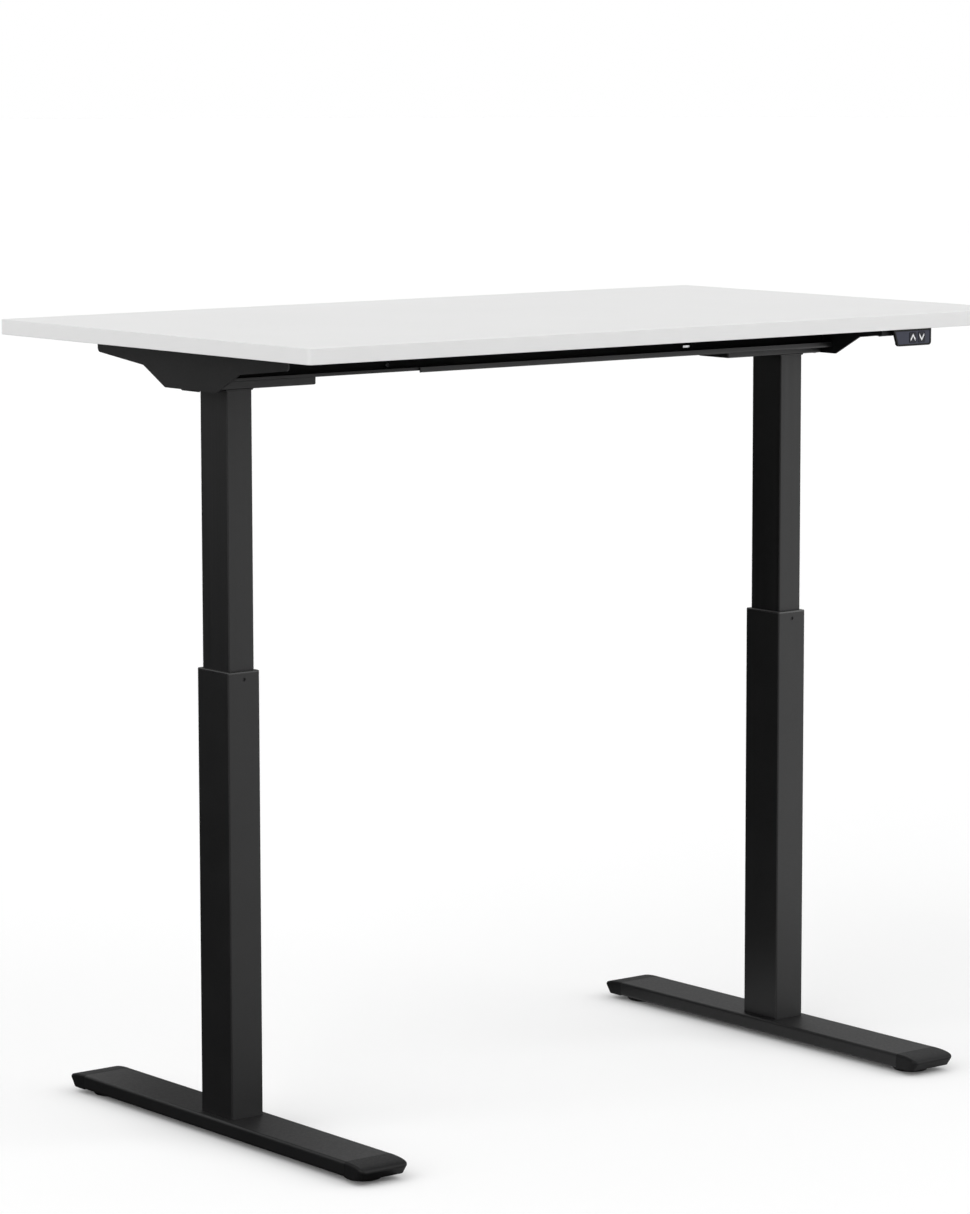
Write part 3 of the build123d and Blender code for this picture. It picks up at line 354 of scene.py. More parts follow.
def powder_coat(tint):
    """Satin black coat with a fine orange peel."""
    finish = Finish("powder_coat_finish", {"Specular IOR Level": 0.25})
    finish.paint(finish.noise(14.0), tint, 0.15)
    finish.roughen(finish.noise(240.0, 4.0), 0.43, 0.49)
    finish.bump(finish.noise(1300.0, 2.0), 0.0002, 0.18)
    return finish.material


def slide_coat(tint):
    """Powder coat with fine upright marks from sliding through the collars."""
    finish = Finish("slide_coat_finish", {"Specular IOR Level": 0.25})
    marks = finish.noise(330.0, 2.0, (1.0, 1.0, 0.006))
    finish.paint(marks, tint, 0.25)
    finish.roughen(marks, 0.38, 0.52)
    finish.bump(finish.noise(1300.0, 2.0), 0.0002, 0.18)
    return finish.material


def rail_coat_painted_shade(tint):
    """Powder coat that turns dull and less reflective deep inside the rails' channels: painted shade of
    the recess.
    """
    finish = Finish("rail_coat_painted_shade_finish", {})
    finish.paint(finish.noise(14.0), tint, 0.15)
    lips, web = rail_depths()
    parts = finish.add("ShaderNodeSeparateXYZ")
    finish.join(finish.coords, parts.inputs["Vector"])
    from_middle = worked_out(finish.tree, "SUBTRACT", parts.outputs["Y"], (lips[0] + lips[1]) / 2)
    depth = worked_out(finish.tree, "ABSOLUTE", from_middle)
    reach = (lips[1] - lips[0]) / 2
    # Roughness rises and reflection falls towards the webs: painted shade inside the channels
    for socket, deep, near in (("Roughness", 0.90, 0.46), ("Specular IOR Level", 0.06, 0.26)):
        level = finish.spread(depth, deep, near, reach - web, reach)
        finish.join(level, finish.shader.inputs[socket])
    finish.bump(finish.noise(1300.0, 2.0), 0.0002, 0.18)
    return finish.material


def moulded_plastic(tint):
    """Black plastic with a spark eroded grain."""
    finish = Finish("moulded_plastic_finish", {"Specular IOR Level": 0.12})
    finish.paint(finish.noise(40.0), tint, 0.20)
    finish.roughen(finish.noise(300.0, 4.0), 0.46, 0.54)
    finish.bump(finish.cells(1500.0), 0.0002, 0.20)
    return finish.material


def collar_plastic(tint):
    """Black plastic that the sliding tubes have rubbed to a sheen."""
    finish = Finish("collar_plastic_finish", {"Specular IOR Level": 0.55})
    finish.paint(finish.noise(40.0), tint, 0.20)
    finish.roughen(finish.noise(300.0, 4.0), 0.34, 0.42)
    finish.bump(finish.cells(1500.0), 0.0002, 0.10)
    return finish.material


def rubber(tint):
    """Dull black rubber."""
    finish = Finish("rubber_finish", {"Specular IOR Level": 0.20})
    finish.paint(finish.noise(120.0), tint, 0.25)
    finish.roughen(finish.noise(200.0, 4.0), 0.70, 0.85)
    finish.bump(finish.noise(2200.0, 3.0), 0.0002, 0.30)
    return finish.material


def melamine(tint):
    """Matt white facing with a faint pearl."""
    finish = Finish("melamine_finish", {"Specular IOR Level": 0.03})
    finish.paint(finish.noise(5.0, 4.0), tint, 0.008)
    finish.roughen(finish.noise(260.0, 3.0), 0.56, 0.64)
    finish.bump(finish.noise(900.0, 2.0), 0.0001, 0.05)
    return finish.material


def band_plastic(tint):
    """White plastic edge band with fine scraper marks along it."""
    finish = Finish("band_plastic_finish", {"Specular IOR Level": 0.40})
    finish.paint(finish.noise(8.0, 3.0), tint, 0.010)
    finish.roughen(finish.noise(120.0, 3.0, (0.05, 0.05, 1.0)), 0.34, 0.42)
    finish.bump(finish.noise(1500.0, 2.0, (0.02, 0.02, 1.0)), 0.0001, 0.06)
    return finish.material


def keypad_gloss(tint):
    """Glossy slate panel with light handling marks."""
    finish = Finish("keypad_gloss_finish", {"Specular IOR Level": 0.16, "Coat Weight": 0.05})
    finish.paint(finish.noise(70.0), tint, 0.06)
    finish.roughen(finish.noise(160.0, 5.0), 0.16, 0.26)
    finish.bump(finish.noise(240.0, 2.0), 0.0002, 0.03)
    return finish.material


def button_gloss(tint):
    """Glossy dark button caps."""
    finish = Finish("button_gloss_finish", {"Specular IOR Level": 0.14})
    finish.paint(finish.noise(120.0), tint, 0.08)
    finish.roughen(finish.noise(200.0, 5.0), 0.20, 0.30)
    finish.bump(finish.noise(400.0, 2.0), 0.0002, 0.03)
    return finish.material


def printed_mark(tint):
    """Thin white print."""
    finish = Finish("printed_mark_finish", {"Specular IOR Level": 0.35})
    finish.paint(finish.noise(700.0), tint, 0.04)
    finish.roughen(finish.noise(900.0), 0.45, 0.55)
    return finish.material


def zinc_plate(tint):
    """Bright zinc with a cloudy bloom."""
    finish = Finish("zinc_plate_finish", {"Metallic": 1.0})
    finish.paint(finish.noise(420.0, 5.0), tint, 0.10)
    finish.roughen(finish.noise(700.0, 4.0), 0.26, 0.42)
    finish.bump(finish.noise(2600.0, 2.0), 0.0001, 0.08)
    return finish.material


def black_oxide(tint):
    """Dark oxide on small screws, three times as pale as the coat."""
    finish = Finish("black_oxide_finish", {"Metallic": 0.8})
    finish.paint(finish.noise(500.0, 4.0), [3.0 * channel for channel in tint], 0.20)
    finish.roughen(finish.noise(700.0, 4.0), 0.38, 0.50)
    return finish.material


def ground_steel(tint):
    """Ground steel with fine rings and streaks."""
    finish = Finish("ground_steel_finish", {"Metallic": 1.0})
    finish.paint(finish.noise(30.0, 4.0), tint, 0.06)
    finish.roughen(finish.noise(260.0, 4.0, (0.4, 0.4, 6.0)), 0.24, 0.40)
    finish.bump(finish.noise(900.0, 2.0, (0.3, 0.3, 5.0)), 0.0001, 0.08)
    return finish.material


def motor_can(tint):
    """Dull plated steel can."""
    finish = Finish("motor_can_finish", {"Metallic": 1.0})
    finish.paint(finish.noise(60.0, 5.0), tint, 0.08)
    finish.roughen(finish.noise(300.0, 4.0, (4.0, 0.5, 0.5)), 0.34, 0.48)
    finish.bump(finish.noise(1600.0, 2.0), 0.0001, 0.06)
    return finish.material


def cast_alloy(tint):
    """Die cast alloy with a sandy skin."""
    finish = Finish("cast_alloy_finish", {"Metallic": 1.0})
    finish.paint(finish.noise(80.0, 5.0), tint, 0.08)
    finish.roughen(finish.noise(500.0, 5.0), 0.46, 0.62)
    finish.bump(finish.noise(1100.0, 4.0), 0.0003, 0.30)
    return finish.material


def slide_plastic(tint):
    """Natural slide plastic."""
    finish = Finish("slide_plastic_finish", {"Subsurface Weight": 0.05})
    finish.paint(finish.noise(60.0, 3.0), tint, 0.03)
    finish.roughen(finish.noise(200.0, 4.0), 0.38, 0.50)
    finish.bump(finish.noise(900.0, 2.0), 0.0002, 0.08)
    return finish.material


def circuit_board(tint):
    """Lacquered board with copper areas showing through."""
    finish = Finish("circuit_board_finish", {"Coat Weight": 0.3, "Coat Roughness": 0.15})
    traces = finish.spread(finish.noise(260.0, 0.0, (1.0, 3.0, 1.0)), 0.0, 1.0, 0.50, 0.53)
    pale = [min(1.0, 1.7 * channel + 0.006) for channel in tint]
    finish.join(finish.mixed(traces, tint, pale), finish.shader.inputs["Base Color"])
    finish.roughen(finish.noise(500.0), 0.35, 0.45)
    finish.bump(traces, 0.0001, 0.20)
    return finish.material


def finish_of(maker, tint):
    """Material of a maker, made once and shared."""
    return bpy.data.materials.get(maker.__name__ + "_finish") or maker(tint)


# Helpers for pieces

def soften(piece, width):
    """Round the sharp edges of a piece without touching its own mesh."""
    weld = piece.modifiers.new("Join triangles", "WELD")
    weld.merge_threshold = MERGE
    flatten = piece.modifiers.new("Clear flat faces", "DECIMATE")
    flatten.decimate_type = "DISSOLVE"
    flatten.angle_limit = STRAIGHT
    rounding = piece.modifiers.new("Round edges", "BEVEL")
    rounding.width = width
    rounding.segments = 2
    rounding.limit_method = "ANGLE"
    rounding.angle_limit = CREASE
    rounding.use_clamp_overlap = True
    flat = piece.modifiers.new("Keep flat faces flat", "WEIGHTED_NORMAL")
    flat.mode = "FACE_AREA"
    flat.weight = 100


def dress(nodes, material, edge=0.0):
    """Give frame nodes their finish and softly rounded edges."""
    for name in nodes:
        piece = frame["nodes"][name]
        for slot in piece.material_slots:
            slot.material = material
        if edge:
            soften(piece, edge)


def solids(node):
    """Lowest and highest corner of each separate solid of a frame node."""
    shape = bmesh.new()
    shape.from_mesh(frame["nodes"][node].data)
    bmesh.ops.remove_doubles(shape, verts=shape.verts, dist=MERGE)
    waiting = dict.fromkeys(shape.verts)
    boxes = []
    while waiting:
        reached = [waiting.popitem()[0]]
        for vert in reached:
            for edge in vert.link_edges:
                other = edge.other_vert(vert)
                if other in waiting:
                    del waiting[other]
                    reached.append(other)
        places = [vert.co.copy() for vert in reached]
        low = Vector([min(place[axis] for place in places) for axis in range(3)])
        high = Vector([max(place[axis] for place in places) for axis in range(3)])
        boxes.append((low, high))
    shape.free()
    return boxes


def make_piece(shape, name, materials, body):
    """Turn a bmesh into a piece that rides on a body."""
    bmesh.ops.recalc_face_normals(shape, faces=shape.faces)
    mesh = bpy.data.meshes.new(name)
    shape.to_mesh(mesh)
    shape.free()
    for material in materials:
        mesh.materials.append(material)
    mesh.shade_smooth()
    mesh.set_sharp_from_angle(angle=CREASE)
    piece = bpy.data.objects.new(name, mesh)
    bpy.context.scene.collection.objects.link(piece)
    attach(piece, body)
    return piece


def loop_of(shape, points):
    """Closed loop of edges through points."""
    verts = [shape.verts.new(point) for point in points]
    return [shape.edges.new((verts[index - 1], verts[index])) for index in range(len(verts))]


def ring(radius, z, steps):
    """Points of a circle about Z."""
    return [
        (radius * math.cos(turn), radius * math.sin(turn), z)
        for turn in (2.0 * math.pi * index / steps for index in range(steps))
    ]


def hexagon(radius, z):
    """Points of a hexagon socket's outline."""
    return ring(radius, z, 6)


def cross(reach, z):
    """Points of a cross recess's outline."""
    arm = CROSS_ARM * reach
    corner = [(reach, arm), (arm, arm), (arm, reach)]
    points = []
    for quarter in range(4):
        points += [(x, y, z) for x, y in corner]
        corner = [(-y, x) for x, y in corner]
    return points


def grow(shape, edges, factor, lift):
    """Extrude a loop of edges, scaled about Z and moved along it."""
    grown = bmesh.ops.extrude_edge_only(shape, edges=edges)["geom"]
    verts = [item for item in grown if isinstance(item, bmesh.types.BMVert)]
    bmesh.ops.scale(shape, verts=verts, vec=(factor, factor, 1.0))
    bmesh.ops.translate(shape, verts=verts, vec=(0.0, 0.0, lift))
    return [item for item in grown if isinstance(item, bmesh.types.BMEdge)]


def turned(shape, profile, steps):
    """Spin a profile of radius and height about Z."""
    verts = [shape.verts.new((radius, 0.0, height)) for radius, height in profile]
    edges = [shape.edges.new(ends) for ends in zip(verts, verts[1:])]
    bmesh.ops.spin(
        shape, geom=verts + edges, axis=(0.0, 0.0, 1.0), cent=(0.0, 0.0, 0.0),
        angle=2.0 * math.pi, steps=steps, use_merge=True
    )
    bmesh.ops.remove_doubles(shape, verts=shape.verts, dist=MERGE)


def put(shape, part, place, direction=UP, material=0):
    """Add a part to a shape at a place, with the part's Z along a direction."""
    turn = direction.to_track_quat("Z", "Y").to_matrix().to_4x4()
    bmesh.ops.transform(part, matrix=Matrix.Translation(place) @ turn, verts=part.verts)
    for face in part.faces:
        face.material_index = material
    mesh = bpy.data.meshes.new("part")
    part.to_mesh(mesh)
    part.free()
    shape.from_mesh(mesh)
    bpy.data.meshes.remove(mesh)


def screw(shape, box, direction, sizes, head, recess):
    """Screw that fills a box, with a driver's recess in its head, which faces a direction."""
    low, high = box
    head_height, shank_radius = sizes
    length = abs((high - low).dot(direction))
    head_radius = (high.x - low.x) / 2
    reach, level = head[0]
    part = bmesh.new()
    outline = loop_of(part, recess(RECESS_REACH * reach * head_radius, 0.0))
    rim = loop_of(part, ring(reach * head_radius, 0.0, HEAD_STEPS))
    bmesh.ops.triangle_fill(part, edges=outline + rim, use_beauty=True)
    floor = grow(part, outline, RECESS_TAPER, -RECESS_DEPTH * head_height)
    bmesh.ops.edgeloop_fill(part, edges=floor)
    for next_reach, next_level in head[1:]:
        rim = grow(part, rim, next_reach / reach, (next_level - level) * head_height)
        reach, level = next_reach, next_level
    rim = grow(part, rim, shank_radius / head_radius, 0.0)
    rim = grow(part, rim, 1.0, head_height - length)
    bmesh.ops.edgeloop_fill(part, edges=rim)
    put(shape, part, (low + high) / 2 + length / 2 * direction, direction)


def hex_nut(shape, box, direction):
    """Chamfered nut that fills most of a box, at the end that faces a direction."""
    low, high = box
    depth = NUT_FILL * (high.y - low.y)
    radius = max(high.x - low.x, high.z - low.z) / 2
    part = bmesh.new()
    bmesh.ops.create_cone(part, cap_ends=True, segments=6, radius1=radius, radius2=radius, depth=depth)
    rims = [edge for edge in part.edges if abs(edge.verts[0].co.z - edge.verts[1].co.z) < MERGE]
    bmesh.ops.bevel(
        part, geom=rims, affect="EDGES", offset=NUT_CHAMFER * radius, segments=2, profile=0.5, material=-1
    )
    put(shape, part, (low + high) / 2 + (high.y - low.y - depth) / 2 * direction, direction)


def block(shape, box, edge, material):
    """Box with rounded edges."""
    low, high = box
    part = bmesh.new()
    bmesh.ops.create_cube(part, size=1.0, matrix=Matrix.Diagonal((*(high - low), 1.0)))
    bmesh.ops.bevel(
        part, geom=part.edges[:], affect="EDGES", offset=edge, segments=2, profile=0.5, material=-1
    )
    put(shape, part, (low + high) / 2, material=material)


def weld_bead(shape, points, radius, step, closed):
    """Rippled bead along a run of points."""
    ends = points[1:] + points[:1] if closed else points[1:]
    spots = []
    for first, last in zip(points, ends):
        parts = max(1, round((last - first).length / step))
        spots += [first.lerp(last, part / parts) for part in range(parts)]
    if not closed:
        spots.append(points[-1])
    path = bpy.data.curves.new("weld_path", "CURVE")
    path.dimensions = "3D"
    path.bevel_depth = radius
    path.bevel_resolution = 2
    path.use_fill_caps = True
    line = path.splines.new("POLY")
    line.points.add(len(spots) - 1)
    for index, spot in enumerate(spots):
        line.points[index].co = (*spot, 1.0)
        line.points[index].radius = 1.0 + WELD_RIPPLE * (-1) ** index
    line.use_cyclic_u = closed
    holder = bpy.data.objects.new("weld_path", path)
    mesh = bpy.data.meshes.new_from_object(holder)
    shape.from_mesh(mesh)
    bpy.data.objects.remove(holder)
    bpy.data.curves.remove(path)
    bpy.data.meshes.remove(mesh)


# Studio

def cleared_tree(holder, output):
    """Node tree of a material or world with nothing but an output, and that output's surface."""
    holder.use_nodes = True
    tree = holder.node_tree
    tree.nodes.clear()
    return tree, tree.nodes.new(output).inputs["Surface"]


def staged(shape, name, material):
    """Turn a bmesh into a part of the stage."""
    mesh = bpy.data.meshes.new(name)
    shape.to_mesh(mesh)
    shape.free()
    mesh.materials.append(material)
    thing = bpy.data.objects.new(name, mesh)
    bpy.context.scene.collection.objects.link(thing)
    return thing


def seen_directly(tree):
    """One for camera, glossy and transmission rays, else zero."""
    path = tree.nodes.new("ShaderNodeLightPath")
    result = path.outputs["Is Camera Ray"]
    for ray in ("Is Glossy Ray", "Is Transmission Ray"):
        result = worked_out(tree, "MAXIMUM", result, path.outputs[ray])
    return result


def studio_floor(studio):
    """Pale floor that keeps the desk's shadow, with painted contact shade by the feet, and runs out to
    white.
    """
    material = bpy.data.materials.new("studio_floor_pale")
    tree, surface = cleared_tree(material, "ShaderNodeOutputMaterial")
    matt = tree.nodes.new("ShaderNodeBsdfDiffuse")
    matt.inputs["Color"].default_value = (*studio.floor, 1.0)
    glow = tree.nodes.new("ShaderNodeEmission")
    glow.inputs["Color"].default_value = (1.0, 1.0, 1.0, 1.0)
    # Ambient occlusion dims the floor's glow near the feet: painted contact shade
    nearness = tree.nodes.new("ShaderNodeAmbientOcclusion")
    nearness.inputs["Distance"].default_value = studio.contact_reach
    contact = worked_out(tree, "POWER", nearness.outputs["AO"], studio.contact_depth)
    open_floor = worked_out(tree, "MULTIPLY", contact, studio.floor_glow)
    strength = worked_out(tree, "MULTIPLY", seen_directly(tree), open_floor)
    tree.links.new(strength, glow.inputs["Strength"])
    both = tree.nodes.new("ShaderNodeAddShader")
    tree.links.new(matt.outputs["BSDF"], both.inputs[0])
    tree.links.new(glow.outputs["Emission"], both.inputs[1])
    tree.links.new(both.outputs["Shader"], surface)
    shape = bmesh.new()
    bmesh.ops.create_circle(shape, cap_ends=True, segments=128, radius=studio.floor_radius)
    staged(shape, "studio_floor", material)


def studio_world(studio):
    """Even light all round, with white beyond the floor."""
    world = bpy.data.worlds.new("studio_world")
    tree, surface = cleared_tree(world, "ShaderNodeOutputWorld")
    around = tree.nodes.new("ShaderNodeBackground")
    around.inputs["Strength"].default_value = studio.ambient
    beyond = tree.nodes.new("ShaderNodeBackground")
    for background in (around, beyond):
        background.inputs["Color"].default_value = (1.0, 1.0, 1.0, 1.0)
    mix = tree.nodes.new("ShaderNodeMixShader")
    tree.links.new(seen_directly(tree), mix.inputs["Fac"])
    tree.links.new(around.outputs["Background"], mix.inputs[1])
    tree.links.new(beyond.outputs["Background"], mix.inputs[2])
    tree.links.new(mix.outputs["Shader"], surface)
    bpy.context.scene.world = world


def soft_sun(name, strength, heading, height, spread):
    """Soft light from a heading, counted from the front towards the right, and a height."""
    lamp = bpy.data.lights.new(name, "SUN")
    lamp.energy = strength
    lamp.angle = math.radians(spread)
    sun = bpy.data.objects.new(name, lamp)
    sun.rotation_euler = Euler((math.radians(90.0 - height), 0.0, math.radians(heading)))
    bpy.context.scene.collection.objects.link(sun)


def reflected_card(name, shade, place, turn, width, reaches):
    """Card that shows only in reflections, with a part standing or lying along each reach."""
    material = bpy.data.materials.new(name + "_paper")
    tree, surface = cleared_tree(material, "ShaderNodeOutputMaterial")
    paper = tree.nodes.new("ShaderNodeEmission")
    paper.inputs["Color"].default_value = (shade, shade, shade, 1.0)
    tree.links.new(paper.outputs["Emission"], surface)
    shape = bmesh.new()
    ends = [shape.verts.new((side * width / 2, 0.0, CARD_LIFT)) for side in (-1.0, 1.0)]
    fold = shape.edges.new(ends)
    for reach in reaches:
        grown = bmesh.ops.extrude_edge_only(shape, edges=[fold])
        verts = [item for item in grown["geom"] if isinstance(item, bmesh.types.BMVert)]
        bmesh.ops.translate(shape, verts=verts, vec=reach)
    stand = Matrix.Translation(place) @ Matrix.Rotation(turn, 4, "Z")
    bmesh.ops.transform(shape, matrix=stand, verts=shape.verts)
    card = staged(shape, name, material)
    card.visible_camera = False
    card.visible_diffuse = False
    card.visible_shadow = False


def studio_camera(studio):
    """Camera at the photograph's viewing angle."""
    lens = bpy.data.cameras.new("photo_camera")
    lens.lens = studio.lens
    lens.sensor_width = SENSOR_WIDTH
    lens.clip_end = VIEW_REACH
    camera = bpy.data.objects.new("photo_camera", lens)
    aim = Euler((math.pi / 2 - studio.camera_tilt, 0.0, -studio.camera_heading)).to_matrix().to_4x4()
    lean = Matrix.Rotation(studio.camera_roll, 4, "Z")
    camera.matrix_world = Matrix.Translation(studio.camera_place) @ aim @ lean
    bpy.context.scene.collection.objects.link(camera)
    bpy.context.scene.camera = camera


# Operators

class DESK_OT_steel_frame(bpy.types.Operator):
    """Coat the legs, feet, head boxes, brackets and rails"""

    bl_idname = "desk.steel_frame"
    bl_label = "Steel Frame"

    def execute(self, context):
        finishes = context.scene.desk_finishes
        details = context.scene.desk_details
        coat = finish_of(powder_coat, finishes.steel)
        tubes = pair("outer_tube") + pair("foot_beam")
        folded = pair("head_box") + pair("side_bracket")
        rails = [end + "_rail_" + half for end in ENDS for half in ("inner", "outer")]
        dress(tubes + folded, coat, details.steel_edge)
        dress(pair("inner_tube"), finish_of(slide_coat, finishes.steel), details.steel_edge)
        dress(rails, finish_of(rail_coat_painted_shade, finishes.steel), details.steel_edge)
        self.welds(details, coat)
        return {"FINISHED"}

    def welds(self, details, coat):
        """Beads round the tubes' tops, along the head boxes and at the rails' ends."""
        shape = bmesh.new()
        bead = (details.weld_radius, details.weld_step)
        for side in SIDES:
            low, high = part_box(side + "_inner_tube")
            corners_xy = [(low.x, low.y), (high.x, low.y), (high.x, high.y), (low.x, high.y)]
            weld_bead(shape, [Vector((x, y, high.z)) for x, y in corners_xy], *bead, True)
            low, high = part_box(side + "_head_box")
            outside = low.x if side == "left" else high.x
            margin = WELD_MARGIN * (high.y - low.y)
            ends = (low.y + margin, high.y - margin)
            weld_bead(shape, [Vector((outside, y, low.z)) for y in ends], *bead, False)
        for end in ENDS:
            for half, side in (("inner", 0), ("outer", 1)):
                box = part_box(end + "_rail_" + half)
                outside = box[side].x
                ends = (box[0].y + details.weld_step, box[1].y - details.weld_step)
                weld_bead(shape, [Vector((outside, y, box[0].z)) for y in ends], *bead, False)
        make_piece(shape, "frame_welds", [coat], "top_frame")


class DESK_OT_desktop(bpy.types.Operator):
    """Face the board and its edge band"""

    bl_idname = "desk.desktop"
    bl_label = "Desktop"

    def execute(self, context):
        finishes = context.scene.desk_finishes
        dress(["desktop"], finish_of(melamine, finishes.board))
        dress(["edge_band"], finish_of(band_plastic, finishes.band))
        return {"FINISHED"}


class DESK_OT_mouldings(bpy.types.Operator):
    """Grain the foot caps, collars and keypad case, and finish the slides"""

    bl_idname = "desk.mouldings"
    bl_label = "Mouldings"

    def execute(self, context):
        finishes = context.scene.desk_finishes
        edge = context.scene.desk_details.plastic_edge
        plastic = finish_of(moulded_plastic, finishes.plastic)
        dress(corners("foot_cap"), plastic, edge)
        dress(pair("tube_collar"), finish_of(collar_plastic, finishes.plastic), edge)
        dress(["keypad_housing"], plastic, context.scene.desk_details.keypad_edge)
        dress(pair("tube_glide") + ["drive_nuts"], finish_of(slide_plastic, finishes.glide))
        return {"FINISHED"}


class DESK_OT_levellers(bpy.types.Operator):
    """Model the levellers with fluted pads, rubber soles and threaded studs"""

    bl_idname = "desk.levellers"
    bl_label = "Levellers"

    def execute(self, context):
        finishes = context.scene.desk_finishes
        materials = [
            finish_of(moulded_plastic, finishes.plastic),
            finish_of(rubber, finishes.rubber),
            finish_of(zinc_plate, finishes.zinc),
        ]
        for name in corners("leveller"):
            self.leveller(name, context.scene.desk_details, materials)
        return {"FINISHED"}

    def leveller(self, name, details, materials):
        """Pad, sole and stud in one, spun about the stud, in place of a node."""
        low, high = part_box(name)
        radius = (high.x - low.x) / 2
        stud = details.stud_radius
        sole, top = details.sole_depth, details.pad_height
        profile = [(0.0, 0.0)]
        for level, outline in ((0.0, PAD_SOLE), (sole, PAD_RIM), (top, PAD_CROWN)):
            profile += [(radius - inset, level + rise) for inset, rise in outline]
        profile += [(2.0 * stud, top), (stud, top)]
        height = top + details.thread_pitch / 4
        crest = True
        while height < high.z - low.z - details.thread_pitch / 2:
            profile.append((stud if crest else stud - details.thread_depth, height))
            height += details.thread_pitch / 2
            crest = not crest
        profile += [(stud - details.thread_depth, high.z - low.z), (0.0, high.z - low.z)]
        shape = bmesh.new()
        turned(shape, profile, PAD_STEPS)
        self.flute(shape, radius, details.grip_depth)
        for face in shape.faces:
            middle = face.calc_center_median()
            if middle.z < sole:
                face.material_index = 1
            elif middle.z > top and middle.xy.length < stud + MERGE:
                face.material_index = 2
        foot = ((low.x + high.x) / 2, (low.y + high.y) / 2, low.z)
        bmesh.ops.translate(shape, verts=shape.verts, vec=foot)
        piece = make_piece(shape, name + "_fluted", materials, name)
        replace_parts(piece, name)

    def flute(self, shape, radius, depth):
        """Press flutes into the rim of a pad."""
        for vert in shape.verts:
            if vert.co.xy.length > radius - MERGE:
                turn = math.atan2(vert.co.y, vert.co.x)
                vert.co.xy *= 1.0 - depth / radius * (0.5 - 0.5 * math.cos(PAD_FLUTES * turn))


class DESK_OT_drive(bpy.types.Operator):
    """Finish the spindles, gears, motors, gearboxes and hidden steel"""

    bl_idname = "desk.drive"
    bl_label = "Lifting Drive"

    def execute(self, context):
        finishes = context.scene.desk_finishes
        moving = pair("push_tube") + pair("spindle") + pair("spindle_gear") + pair("motor_pinion")
        fixed = ["base_plates", "spindle_bearings"]
        dress(moving + fixed, finish_of(ground_steel, finishes.ground_steel))
        dress(pair("motor"), finish_of(motor_can, finishes.can))
        dress(pair("gearbox") + pair("gearbox_cover"), finish_of(cast_alloy, finishes.alloy))
        dress(["leveller_inserts", "gearbox_screws"], finish_of(zinc_plate, finishes.zinc))
        return {"FINISHED"}


class DESK_OT_fasteners(bpy.types.Operator):
    """Model the screws, bolts and nuts with their driver recesses"""

    bl_idname = "desk.fasteners"
    bl_label = "Fasteners"

    def execute(self, context):
        finishes = context.scene.desk_finishes
        zinc = finish_of(zinc_plate, finishes.zinc)
        oxide = finish_of(black_oxide, finishes.steel)
        self.screws("desktop_screws", "top_frame", zinc, "zinc_steel", DOWN, WOOD_SCREW, PAN_HEAD, cross)
        self.screws("foot_bolts", "base", zinc, "zinc_steel", DOWN, FOOT_BOLT, CAP_HEAD, hexagon)
        self.screws("collar_screws", "base", oxide, "black_screw", FORWARD, SET_SCREW, CAP_HEAD, hexagon)
        self.rail_fasteners([oxide, zinc])
        return {"FINISHED"}

    def screws(self, node, body, material, slot, direction, sizes, head, recess):
        """Screws of one kind in place of a node's solids."""
        shape = bmesh.new()
        for box in solids(node):
            screw(shape, box, direction, sizes, head, recess)
        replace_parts(make_piece(shape, node + "_driven", [material], body), node)

    def rail_fasteners(self, materials):
        """Dark screws and nuts in both rails, and the bright nuts that wait behind their slots."""
        shape = bmesh.new()
        middle = sum(corner.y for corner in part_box("rail_screws")) / 2
        for low, high in solids("rail_screws"):
            direction = FORWARD if low.y < middle else -FORWARD
            if high.x - low.x > SLOT_NUT_WIDTH:
                block(shape, (low, high), SLOT_NUT_EDGE, 1)
            elif high.y - low.y < NUT_DEPTH:
                hex_nut(shape, (low, high), direction)
            else:
                screw(shape, (low, high), direction, RAIL_SCREW, PAN_HEAD, cross)
        piece = make_piece(shape, "rail_screws_driven", materials, "top_frame")
        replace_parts(piece, "rail_screws")


